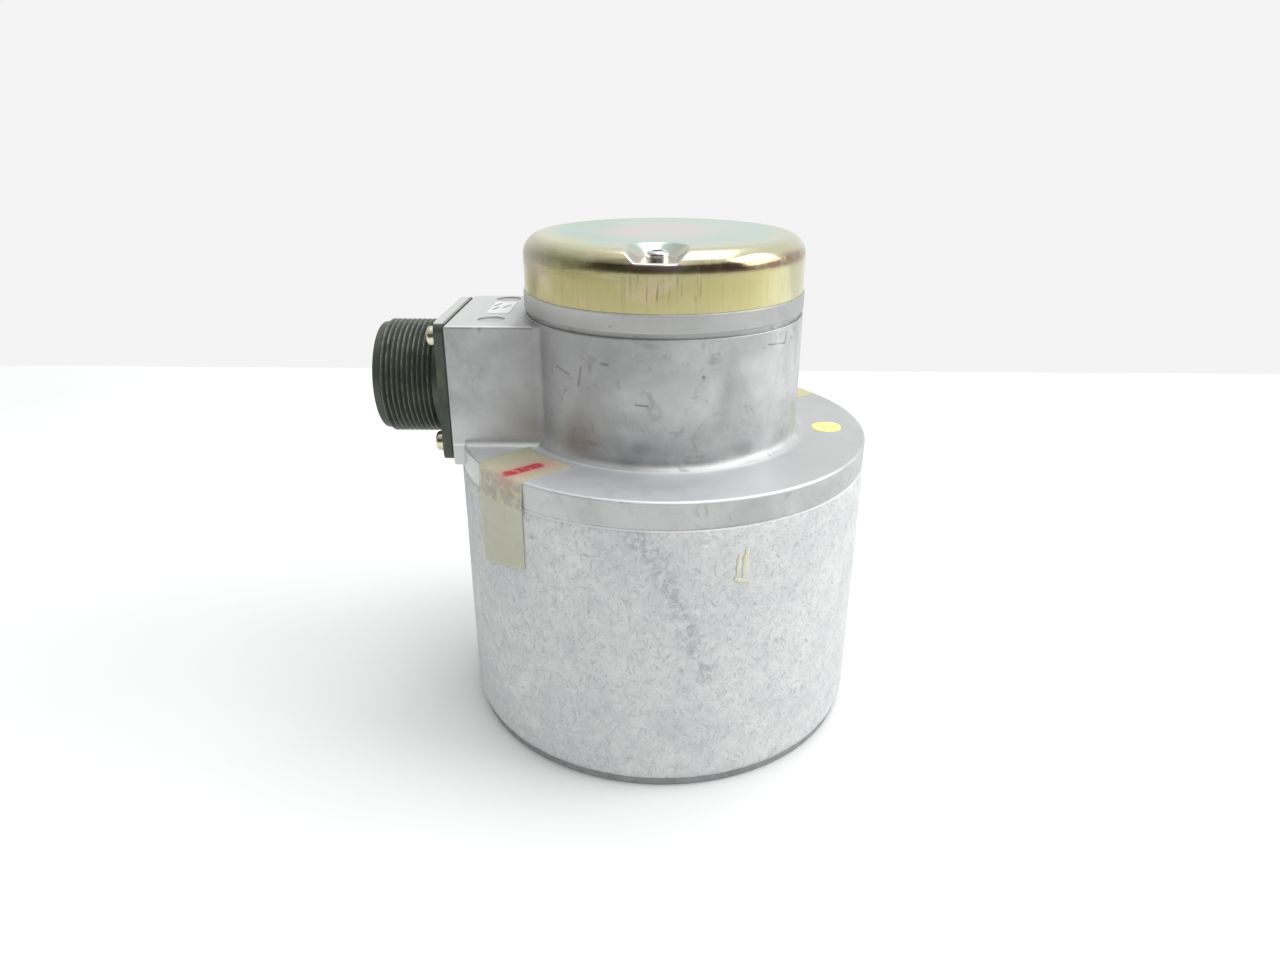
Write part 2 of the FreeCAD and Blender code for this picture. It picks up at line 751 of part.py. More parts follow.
def wave_washer():
    """Waved preload ring between the rear bearing and its retainer."""
    low = REAR_BEARING_Z + BEARING_W
    flat = ring(PRELOAD_IN_R, PRELOAD_OUT_R, low + 0.2, low + 0.6)
    crest = box(PRELOAD_IN_R + 0.05, PRELOAD_OUT_R - 0.05, -0.5, 0.5, low + 0.6, HUB_TOP_Z)
    valley = box(PRELOAD_IN_R + 0.05, PRELOAD_OUT_R - 0.05, -0.5, 0.5, low, low + 0.2)
    return fuse([flat] + around(crest, 3) + around(valley, 3, 60))


def bearing_retainer():
    plate = ring(12.4, 19.6, HUB_TOP_Z, HUB_TOP_Z + RETAINER_T)
    return cut(plate, around(cylinder(1.35, 30, 35, RETAINER_SCREW_R, 0), 3, 60))


def retainer_screws():
    screw = pan_screw(M25_SHANK_R, 2.2, 1.5, HUB_TOP_Z + RETAINER_T, HUB_TOP_Z - 5.5)
    return Part.makeCompound(around(at(screw, RETAINER_SCREW_R, 0), 3, 60))


# ----------------------------------------------------------- code disc, optics


def disc_hub():
    body = turned([
        (SHAFT_TOP_R + 0.01, DISC_HUB_LOW_Z, 0),
        (9.0, DISC_HUB_LOW_Z, 0.3),
        (9.0, DISC_HUB_STEP_Z, 0),
        (DISC_HUB_R, DISC_HUB_STEP_Z, 0.3),
        (DISC_HUB_R, DISC_LOW_Z, 0.3),
        (SHAFT_TOP_R + 0.01, DISC_LOW_Z, 0),
    ])
    set_hole = Part.makeCylinder(M3_CORE_R, 12, V(0, 0, SET_SCREW_Z), V(1, 0, 0))
    screw_holes = around(cylinder(0.8, 38, DISC_LOW_Z + 1, CLAMP_SCREW_R, 0), 3, 30)
    return cut(body, [set_hole] + screw_holes)


def hub_set_screw():
    screw = Part.makeCylinder(M3_SHANK_R, 3.6, V(SHAFT_TOP_R + 0.02, 0, SET_SCREW_Z), V(1, 0, 0))
    socket = Part.makeCylinder(0.7, 1.6, V(SHAFT_TOP_R + 2.1, 0, SET_SCREW_Z), V(1, 0, 0))
    return screw.cut(socket)


def code_disc():
    plate = ring(SHAFT_TOP_R + 0.3, DISC_R, DISC_LOW_Z, DISC_TOP_Z)
    return cut(plate, around(cylinder(1.1, 40, 45, CLAMP_SCREW_R, 0), 3, 30))


def disc_clamp_ring():
    plate = ring(SHAFT_TOP_R + 0.3, 12.0, DISC_TOP_Z, DISC_TOP_Z + CLAMP_RING_T)
    return cut(plate, around(cylinder(1.1, 40, 46, CLAMP_SCREW_R, 0), 3, 30))


def disc_clamp_screws():
    screw = pan_screw(0.78, 1.7, 1.1, DISC_TOP_Z + CLAMP_RING_T, 39.0)
    return Part.makeCompound(around(at(screw, CLAMP_SCREW_R, 0), 3, 30))


def bracket_screw_sides():
    return -BRACKET_SCREW_Y, BRACKET_SCREW_Y


def optical_bracket():
    """C-shaped block reaching over and under the code disc."""
    lower = box(16, 33, -BRACKET_HALF_W, BRACKET_HALF_W, BRACKET_LOW_Z, BRACKET_ARM_TOP_Z)
    upper = box(16, 33, -BRACKET_HALF_W, BRACKET_HALF_W, BRACKET_UPPER_Z, BRACKET_TOP_Z)
    columns = [
        box(26, 33, 3.2, BRACKET_HALF_W, BRACKET_ARM_TOP_Z - 1, BRACKET_UPPER_Z + 1),
        box(26, 33, -BRACKET_HALF_W, -3.2, BRACKET_ARM_TOP_Z - 1, BRACKET_UPPER_Z + 1),
    ]
    body = fuse([lower, upper] + columns)
    holes = [
        box(27.5, 34, -3.2, 3.2, BRACKET_UPPER_Z - 1, BRACKET_TOP_Z + 1),
        cylinder(2.6, BRACKET_UPPER_Z - 1, LAMP_Z, OPTIC_R, 0),
        cylinder(1.6, 48, 51, OPTIC_R, 0),
    ]
    for y in bracket_screw_sides():
        holes.append(cylinder(1.2, 30, 55, BRACKET_SCREW_X, y))
        holes.append(cylinder(1.9, BRACKET_SCREW_SEAT_Z, 52, BRACKET_SCREW_X, y))
    return cut(body, holes)


def bracket_screws():
    screw = pan_screw(M25_SHANK_R, 1.8, 1.4, BRACKET_SCREW_SEAT_Z, 26.0)
    return Part.makeCompound([at(screw, BRACKET_SCREW_X, y) for y in bracket_screw_sides()])


def lamp():
    body = turned([(0, LAMP_Z, 0), (1.55, LAMP_Z, 0.6), (1.55, LAMP_Z + 2.1, 0), (0, LAMP_Z + 2.1, 0)])
    legs = [cylinder(LEAD_R, 50.3, BOARD_TOP_Z + 0.8, OPTIC_R, y) for y in (-LAMP_LEG_Y, LAMP_LEG_Y)]
    return fuse([at(body, OPTIC_R, 0)] + legs)


def collimator_lens():
    body = cylinder(2.55, 46.6, 48.2, OPTIC_R, 0)
    return body.common(Part.makeSphere(5.0, V(OPTIC_R, 0, 51.2)))


def photodiode_array():
    return box(18.5, 24.5, -3.5, 3.5, BRACKET_ARM_TOP_Z, 40.6)


def index_mask():
    return box(19.0, 23.5, -3.0, 3.0, 40.6, 41.4)


def sensor_leads():
    leads = []
    for y in LEAD_PLACES_Y:
        points = [V(24.5, y, LEAD_Z), V(LEAD_X, y, LEAD_Z), V(LEAD_X, y, BOARD_TOP_Z + 0.6)]
        leads.append(tube_along(rounded_route(points, 2.0), LEAD_R))
    return Part.makeCompound(leads)


# ----------------------------------------------------------- circuit board


def main_circuit_board():
    plate = cylinder(BOARD_R, BOARD_LOW_Z, BOARD_TOP_Z)
    cutouts = [box(-40, -26.8, -HEADER_HALF_W, HEADER_HALF_W, 50, 54)]
    cutouts += [cylinder(1.7, 50, 54, x, y) for x, y in post_places()]
    cutouts += [cylinder(0.45, 50, 54, OPTIC_R, y) for y in (-LAMP_LEG_Y, LAMP_LEG_Y)]
    cutouts += [cylinder(0.45, 50, 54, LEAD_X, y) for y in LEAD_PLACES_Y]
    return cut(plate, cutouts)


def chip(x, y, length, width, leads_per_side, height=1.6):
    """Small-outline package with its leads, on the upper face of the board."""
    low = BOARD_TOP_Z
    half = width / 2
    pieces = [box(x - length / 2, x + length / 2, y - half, y + half, low + 0.15, low + height)]
    for i in range(leads_per_side):
        lead_x = x + (i - (leads_per_side - 1) / 2) * LEAD_PITCH
        pieces.append(box(lead_x - 0.2, lead_x + 0.2, y - half - 1.0, y + half + 1.0, low, low + 0.3))
    return fuse(pieces)


def board_chips():
    return Part.makeCompound([
        chip(-10, 9, 9.9, 3.9, 7),
        chip(-10, 0, 9.9, 3.9, 7),
        chip(-10, -9, 9.9, 3.9, 7),
        chip(7, 0, 10.2, 7.5, 8, 2.3),
    ])


def board_capacitors():
    low = BOARD_TOP_Z
    can = turned([(0, low, 0), (3.1, low, 0.3), (3.1, low + 5.4, 0.5), (0, low + 5.4, 0)])
    return Part.makeCompound([at(can, x, y) for x, y in ((8, 14), (15.5, 13), (6, -15))])


def board_resistors():
    low = BOARD_TOP_Z
    places = [(-17 + 3.4 * i, y) for i in range(6) for y in (15.5, -15.5)]
    return Part.makeCompound([box(x - 1, x + 1, y - 0.6, y + 0.6, low, low + 0.55) for x, y in places])


def board_header():
    face_x = HEADER_X - 2.0
    body = box(face_x, face_x + 6.0, -HEADER_HALF_W, HEADER_HALF_W, BOARD_TOP_Z, BOARD_TOP_Z + 5.2)
    sockets = []
    for up, side in wired_contacts():
        sockets.append(Part.makeCylinder(WIRE_R + 0.02, 2.0, V(face_x, side, WIRE_CROSSING_Z), V(1, 0, 0)))
    return cut(body, sockets)


def lower_standoffs():
    posts = []
    for x, y in post_places():
        post = hexagon(POST_FLATS, POST_FOOT_Z, BOARD_LOW_Z, x, y)
        stud = cylinder(M3_SHANK_R, POST_FOOT_Z - 5, POST_FOOT_Z + 1, x, y)
        posts.append(fuse([post, stud]).cut(cylinder(M3_CORE_R, BOARD_LOW_Z - 7, BOARD_LOW_Z + 1, x, y)))
    return Part.makeCompound(posts)


def cover_post():
    """Tapped post that carries the cap's screw."""
    x, y = cover_post_place()
    top = RECESS_PAD_Z - CAP_WALL
    post = hexagon(POST_FLATS, BOARD_TOP_Z, top, x, y)
    stud = cylinder(M3_SHANK_R, BOARD_LOW_Z - 5, BOARD_TOP_Z + 0.5, x, y)
    return fuse([post, stud]).cut(cylinder(M3_CORE_R, top - 5.3, top + 1, x, y))


def board_screws():
    screw = pan_screw(M3_SHANK_R, 2.8, 1.9, BOARD_TOP_Z, BOARD_LOW_Z - 5)
    return Part.makeCompound([at(screw, x, y) for x, y in board_screw_places()])


# --------------------------------------------------- tube, tape and labels


def protective_tube():
    return turned([
        (TUBE_IN_R, TUBE_LOW_Z, 0),
        (TUBE_OUT_R, TUBE_LOW_Z, 0.3),
        (TUBE_OUT_R, RIM_LOW_Z - 0.02, 0.3),
        (TUBE_IN_R, RIM_LOW_Z - 0.02, 0),
    ])


def tube_end_plug():
    return turned([
        (0, PLUG_FOOT_Z, 0),
        (PLUG_R, PLUG_FOOT_Z, 0.5),
        (PLUG_R, TUBE_LOW_Z, 0.3),
        (PLUG_STEP_R, TUBE_LOW_Z, 0),
        (PLUG_STEP_R, PLUG_TOP_Z, 0.6),
        (0, PLUG_TOP_Z, 0),
    ])


def tape_strip(azimuth, foot_z):
    """Strip of film lying on the flange, over its edge and down beside the tube."""
    top = RIM_TOP_Z + TAPE_T
    skin = TAPE_SKIN_R + TAPE_T
    profile = sharp([
        (TAPE_INNER_R, RIM_TOP_Z),
        (FLANGE_R - RIM_CHAMFER, RIM_TOP_Z),
        (FLANGE_R + 0.04, RIM_TOP_Z - RIM_CHAMFER),
        (TAPE_SKIN_R, RIM_LOW_Z),
        (TAPE_SKIN_R, foot_z),
        (skin, foot_z),
        (skin, RIM_LOW_Z),
        (FLANGE_R + 0.04 + TAPE_T, RIM_TOP_Z - RIM_CHAMFER + TAPE_T / 2),
        (FLANGE_R - RIM_CHAMFER + TAPE_T / 2, top),
        (TAPE_INNER_R, top),
    ])
    strip = turned(profile).common(box(20, 70, -TAPE_HALF_W, TAPE_HALF_W, -40, 20))
    strip.rotate(V(0, 0, 0), V(0, 0, 1), azimuth)
    boss_reach = BOSS_HALF_W + BOSS_FOOT_FILLET + 0.1
    return strip.cut(box(BOSS_FACE_X - 5, 0, -boss_reach, boss_reach, RIM_TOP_Z - 1, RIM_TOP_Z + 1))


def boss_label():
    return box(LABEL_LOW_X, LABEL_HIGH_X, LABEL_LOW_Y, LABEL_HIGH_Y, BOSS_TOP_Z, BOSS_TOP_Z + STICKER_T)


def inspection_dot():
    return cylinder(DOT_R, RIM_TOP_Z, RIM_TOP_Z + STICKER_T, DOT_X, DOT_Y)


def main():
    os.makedirs("parts", exist_ok=True)
    save("body_casting", body_casting())
    save("rear_cover", rear_cover())
    save("cover_o_ring", cover_o_ring())
    save("cover_screw", cover_screw())
    save("connector_shell", connector_shell())
    save("connector_insert", connector_insert())
    save("connector_pins", connector_pins())
    save("connector_gasket", connector_gasket())
    save("connector_screws", connector_screws())
    save("connector_spring_washers", connector_spring_washers())
    save("signal_wires", signal_wires())
    save("boss_label", boss_label())
    save("inspection_dot", inspection_dot())
    save("tape_strip_front", tape_strip(FRONT_TAPE_AZIMUTH, FRONT_TAPE_FOOT_Z))
    save("tape_strip_rear", tape_strip(REAR_TAPE_AZIMUTH, REAR_TAPE_FOOT_Z))
    for name, z in (("front", FRONT_BEARING_Z), ("rear", REAR_BEARING_Z)):
        save(f"{name}_bearing_outer_ring", bearing_outer_ring(z))
        save(f"{name}_bearing_inner_ring", bearing_inner_ring(z))
        save(f"{name}_bearing_shields", bearing_shields(z))
        save(f"{name}_bearing_balls", bearing_balls(z))
        save(f"{name}_bearing_cage", bearing_cage(z))
    gap_low = FRONT_BEARING_Z + BEARING_W
    save("bearing_outer_spacer", ring(12.2, BEARING_R - 0.01, gap_low, REAR_BEARING_Z))
    save("bearing_inner_spacer", ring(SHAFT_R + 0.01, 8.0, gap_low, REAR_BEARING_Z))
    save("bearing_retainer", bearing_retainer())
    save("retainer_screws", retainer_screws())
    save("preload_wave_washer", wave_washer())
    save("shaft_seal", shaft_seal())
    save("garter_spring", garter_spring())
    save("shaft", shaft())
    save("shaft_retaining_ring", retaining_ring())
    save("disc_hub", disc_hub())
    save("hub_set_screw", hub_set_screw())
    save("code_disc", code_disc())
    save("disc_clamp_ring", disc_clamp_ring())
    save("disc_clamp_screws", disc_clamp_screws())
    save("optical_bracket", optical_bracket())
    save("bracket_screws", bracket_screws())
    save("led_lamp", lamp())
    save("collimator_lens", collimator_lens())
    save("photodiode_array", photodiode_array())
    save("index_mask", index_mask())
    save("sensor_leads", sensor_leads())
    save("main_circuit_board", main_circuit_board())
    save("board_chips", board_chips())
    save("board_capacitors", board_capacitors())
    save("board_resistors", board_resistors())
    save("board_header", board_header())
    save("lower_standoffs", lower_standoffs())
    save("cover_post", cover_post())
    save("board_screws", board_screws())
    save("protective_tube", protective_tube())
    save("tube_end_plug", tube_end_plug())


main()
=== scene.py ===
import json
import math

import bpy
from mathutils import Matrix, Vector, noise

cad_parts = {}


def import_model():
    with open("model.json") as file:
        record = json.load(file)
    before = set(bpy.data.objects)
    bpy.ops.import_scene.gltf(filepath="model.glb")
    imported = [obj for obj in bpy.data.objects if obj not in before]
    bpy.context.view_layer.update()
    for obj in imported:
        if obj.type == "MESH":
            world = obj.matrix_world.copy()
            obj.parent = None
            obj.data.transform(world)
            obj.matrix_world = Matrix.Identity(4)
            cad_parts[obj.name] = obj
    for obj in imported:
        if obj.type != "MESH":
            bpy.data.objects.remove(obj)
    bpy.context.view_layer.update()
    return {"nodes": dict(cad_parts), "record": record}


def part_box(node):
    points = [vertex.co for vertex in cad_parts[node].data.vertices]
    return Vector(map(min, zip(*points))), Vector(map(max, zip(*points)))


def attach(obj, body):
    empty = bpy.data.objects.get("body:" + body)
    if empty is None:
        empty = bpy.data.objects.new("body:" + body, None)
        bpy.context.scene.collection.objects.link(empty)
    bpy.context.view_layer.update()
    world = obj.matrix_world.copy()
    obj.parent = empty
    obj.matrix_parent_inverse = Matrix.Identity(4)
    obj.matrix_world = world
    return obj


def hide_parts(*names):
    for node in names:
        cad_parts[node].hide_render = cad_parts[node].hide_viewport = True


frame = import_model()
MM = 0.001


# ------------------------------------------------------------------ the frame's own sizes


def axis_box(node):
    """A node's lowest and highest corner, in millimetres."""
    low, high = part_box(node)
    return low / MM, high / MM


TUBE_LOW, TUBE_HIGH = axis_box("protective_tube")
COVER_LOW, COVER_HIGH = axis_box("rear_cover")
PLUG_LOW, _ = axis_box("tube_end_plug")
LABEL_LOW, LABEL_HIGH = axis_box("boss_label")
DOT_LOW, DOT_HIGH = axis_box("inspection_dot")
SHELL_LOW, SHELL_HIGH = axis_box("connector_shell")
_, CASTING_HIGH = axis_box("body_casting")

FLOOR_Z = PLUG_LOW.z
TUBE_R = TUBE_HIGH.y
TUBE_WALL = 3.65
FLANGE_R = CASTING_HIGH.y
FLANGE_LOW = TUBE_HIGH.z
FLANGE_TOP = DOT_LOW.z
RIM_CHAMFER = 0.5
CAP_R = COVER_HIGH.y
CAP_TOP = COVER_HIGH.z
CAP_FOOT = COVER_LOW.z
BOSS_TOP = LABEL_LOW.z
CONN_Z = (SHELL_LOW.z + SHELL_HIGH.z) / 2
THREAD_R = 15.875
THREAD_START_X = -60.5
COLLAR_FOOT = 42.4
TAPE_INNER_R = 41.8
TAPE_HALF_WIDTH = 9.3


# ------------------------------------------------------------------ where the marks are

# Scratches and nicks on the drum: start, end and half width.
SCRATCHES = [
    ((-20.2, -32.3, 33.3), (-21.0, -31.8, 28.5), 0.18),
    ((-26.8, -27.1, 32.2), (-23.5, -30.0, 30.8), 0.16),
    ((-14.9, -35.0, 34.9), (-13.4, -35.7, 34.8), 0.25),
    ((-6.5, -37.5, 25.3), (-3.5, -37.9, 25.1), 0.12),
    ((9.9, -36.8, 32.3), (10.0, -36.7, 32.0), 0.30),
    ((26.3, -27.6, 38.1), (30.9, -22.2, 37.3), 0.10),
    ((30.9, -22.2, 37.3), (31.4, -21.6, 40.0), 0.10),
    ((-12.7, -35.9, 44.3), (-12.4, -36.0, 44.3), 0.22),
]
WARM_STAIN = (-20.7, -32.0, 13.0), (-21.5, -31.5, 19.0)
# Painted shadow: start and end of a dark crescent on the drum near its foot.
FOOT_SHADOW_CRESCENT = (-6.0, -37.6, 14.0), (22.0, -31.1, 12.4)
RECESS_RIM = (-1.8, -30.5, 60.0), (-1.8, -34.5, 58.0)
MARKER_DASH = (-38.0, -40.8, 8.3), (-31.6, -35.4, 8.3)
MARKER_SMEAR = (-38.3, -41.5, 8.3), (-30.9, -35.0, 8.3)
UPPER_VEIN = (-6.0, -57.5, -1.0), (0.0, -57.8, -9.0)
LOWER_VEIN = (0.0, -57.8, -9.0), (12.0, -56.6, -39.0)

# Pen strokes on the label: middle, from the label's own, and lean.
PEN_STROKES = [(-1.6, 3.4, 0.9), (1.5, 1.2, 1.1), (-1.4, -1.6, 0.7)]

# Torn slivers on the tube: start, end, half width and noise seed.
SPLINTERS = {
    "splinter_long": ((20.9, -53.9, -5.0), (20.1, -54.2, -14.0), 0.85, 1.0),
    "splinter_short": ((19.0, -54.6, -6.4), (18.3, -54.8, -13.6), 0.55, 8.0),
    "splinter_foot": ((17.8, -54.7, -12.9), (21.4, -53.4, -14.5), 0.75, 5.0),
}

# Fibres in the grey board: the directions of each kind in degrees, how far the pattern shifts
# from one to the next, its stretch, noise detail and roughness, threshold, cover, colour and relief.
FIBRES = [
    dict(
        turns=(12, 38, 62, 85, 118, 152), shift=(17.0, 9.0), stretch=(0.26, 1.05), noise=(3.0, 0.6),
        threshold=(0.575, 0.72), cover=0.40, colour=(0.35, 0.36, 0.375), relief=-0.25,
    ),
    dict(
        turns=(25, 55, 100, 138, 170), shift=(-13.0, 21.0), stretch=(0.24, 0.95), noise=(3.0, 0.6),
        threshold=(0.58, 0.72), cover=0.30, colour=(0.76, 0.77, 0.75), relief=0.5,
    ),
    dict(
        turns=(78, 96, 112, 64), shift=(31.0, 5.0), stretch=(0.30, 1.35), noise=(3.5, 0.65),
        threshold=(0.605, 0.68), cover=0.50, colour=(0.30, 0.31, 0.325), relief=-0.3,
    ),
]


# ------------------------------------------------------------------------- node materials


class Graph:
    """Short names for building one node material. Lengths inside it are in millimetres."""

    def __init__(self, name):
        self.material = bpy.data.materials.new(name)
        self.material.use_nodes = True
        self.tree = self.material.node_tree
        self.shader = self.tree.nodes["Principled BSDF"]
        coords = self.tree.nodes.new("ShaderNodeTexCoord")
        scale = self.tree.nodes.new("ShaderNodeVectorMath")
        scale.operation = "SCALE"
        scale.inputs["Scale"].default_value = 1 / MM
        self.link(coords.outputs["Object"], scale.inputs[0])
        self.place = scale.outputs[0]
        split = self.tree.nodes.new("ShaderNodeSeparateXYZ")
        self.link(self.place, split.inputs[0])
        self.x, self.y, self.z = split.outputs

    def link(self, source, target):
        if hasattr(source, "is_linked"):
            self.tree.links.new(source, target)
        elif isinstance(source, (tuple, list)) and len(source) == 3 and target.type == "RGBA":
            target.default_value = (*source, 1)
        else:
            target.default_value = source

    def math(self, operation, a, b=0.0, c=0.0, clamp=False):
        node = self.tree.nodes.new("ShaderNodeMath")
        node.operation = operation
        node.use_clamp = clamp
        for value, socket in zip((a, b, c), node.inputs):
            self.link(value, socket)
        return node.outputs[0]

    def add(self, a, b):
        return self.math("ADD", a, b)

    def times(self, a, b):
        return self.math("MULTIPLY", a, b)

    def rest(self, a):
        return self.math("SUBTRACT", 1.0, a)

    def swing(self, value, amount):
        """A 0 to 1 pattern turned into a plus and minus amount about zero."""
        return self.times(self.math("SUBTRACT", value, 0.5), amount)

    def fade(self, value, low, high):
        """0 at low, 1 at high, smooth between; low may be above high."""
        node = self.tree.nodes.new("ShaderNodeMapRange")
        node.interpolation_type = "SMOOTHSTEP"
        flip = low > high
        self.link(value, node.inputs["Value"])
        node.inputs["From Min"].default_value = min(low, high)
        node.inputs["From Max"].default_value = max(low, high)
        node.inputs["To Min"].default_value = 1.0 if flip else 0.0
        node.inputs["To Max"].default_value = 0.0 if flip else 1.0
        return node.outputs["Result"]

    def band(self, value, low, high, soft):
        rise = self.fade(value, low - soft, low + soft)
        fall = self.fade(value, high + soft, high - soft)
        return self.times(rise, fall)

    def noise(self, per_mm, detail=4.0, rough=0.55, warp=0.0, place=None):
        node = self.tree.nodes.new("ShaderNodeTexNoise")
        node.inputs["Scale"].default_value = per_mm
        node.inputs["Detail"].default_value = detail
        node.inputs["Roughness"].default_value = rough
        node.inputs["Distortion"].default_value = warp
        self.link(self.place if place is None else place, node.inputs["Vector"])
        return node.outputs["Fac"]

    def cells(self, per_mm, feature="F1", place=None):
        node = self.tree.nodes.new("ShaderNodeTexVoronoi")
        node.feature = feature
        node.inputs["Scale"].default_value = per_mm
        self.link(self.place if place is None else place, node.inputs["Vector"])
        return node.outputs["Distance"]

    def mapped(self, scale, rotation=(0, 0, 0), offset=(0, 0, 0), place=None):
        node = self.tree.nodes.new("ShaderNodeMapping")
        node.inputs["Scale"].default_value = scale
        node.inputs["Rotation"].default_value = rotation
        node.inputs["Location"].default_value = offset
        self.link(self.place if place is None else place, node.inputs["Vector"])
        return node.outputs[0]

    def joined(self, x, y, z):
        node = self.tree.nodes.new("ShaderNodeCombineXYZ")
        for value, socket in zip((x, y, z), node.inputs):
            self.link(value, socket)
        return node.outputs[0]

    def mix(self, factor, a, b, blend="MIX"):
        node = self.tree.nodes.new("ShaderNodeMix")
        node.data_type = "RGBA"
        node.blend_type = blend
        self.link(factor, node.inputs[0])
        self.link(a, node.inputs[6])
        self.link(b, node.inputs[7])
        return node.outputs[2]

    def ramp(self, value, stops):
        node = self.tree.nodes.new("ShaderNodeValToRGB")
        elements = node.color_ramp.elements
        while len(elements) < len(stops):
            elements.new(0.5)
        for element, (position, colour) in zip(elements, stops):
            element.position = position
            element.color = (*colour, 1)
        self.link(value, node.inputs[0])
        return node.outputs[0]

    def bump(self, height, depth_mm, strength=1.0, below=None):
        node = self.tree.nodes.new("ShaderNodeBump")
        node.inputs["Strength"].default_value = strength
        node.inputs["Distance"].default_value = depth_mm * MM
        self.link(height, node.inputs["Height"])
        if below is not None:
            self.link(below, node.inputs["Normal"])
        return node.outputs[0]

    def soft_edges(self, radius_mm):
        node = self.tree.nodes.new("ShaderNodeBevel")
        node.samples = 4
        node.inputs["Radius"].default_value = radius_mm * MM
        return node.outputs[0]

    def stroke(self, start, end, half_width, soft):
        """1 on the line between two points, fading out beside it."""
        start, end = Vector(start), Vector(end)
        line = end - start
        away = self.tree.nodes.new("ShaderNodeVectorMath")
        away.operation = "SUBTRACT"
        self.link(self.place, away.inputs[0])
        away.inputs[1].default_value = start
        dot = self.tree.nodes.new("ShaderNodeVectorMath")
        dot.operation = "DOT_PRODUCT"
        self.link(away.outputs[0], dot.inputs[0])
        dot.inputs[1].default_value = line / line.length_squared
        along = self.math("MULTIPLY", dot.outputs["Value"], 1.0, clamp=True)
        nearest = self.tree.nodes.new("ShaderNodeVectorMath")
        nearest.operation = "SCALE"
        nearest.inputs[0].default_value = line
        self.link(along, nearest.inputs["Scale"])
        gap = self.tree.nodes.new("ShaderNodeVectorMath")
        gap.operation = "DISTANCE"
        self.link(away.outputs[0], gap.inputs[0])
        self.link(nearest.outputs[0], gap.inputs[1])
        return self.fade(gap.outputs["Value"], half_width + soft, half_width)

    def radius(self, a, b):
        return self.math("SQRT", self.add(self.times(a, a), self.times(b, b)))

    def done(self, colour, roughness, normal=None, **fixed):
        self.link(colour, self.shader.inputs["Base Color"])
        self.link(roughness, self.shader.inputs["Roughness"])
        if normal is not None:
            self.link(normal, self.shader.inputs["Normal"])
        for name, value in fixed.items():
            self.shader.inputs[name.replace("_", " ")].default_value = value
        return self.material


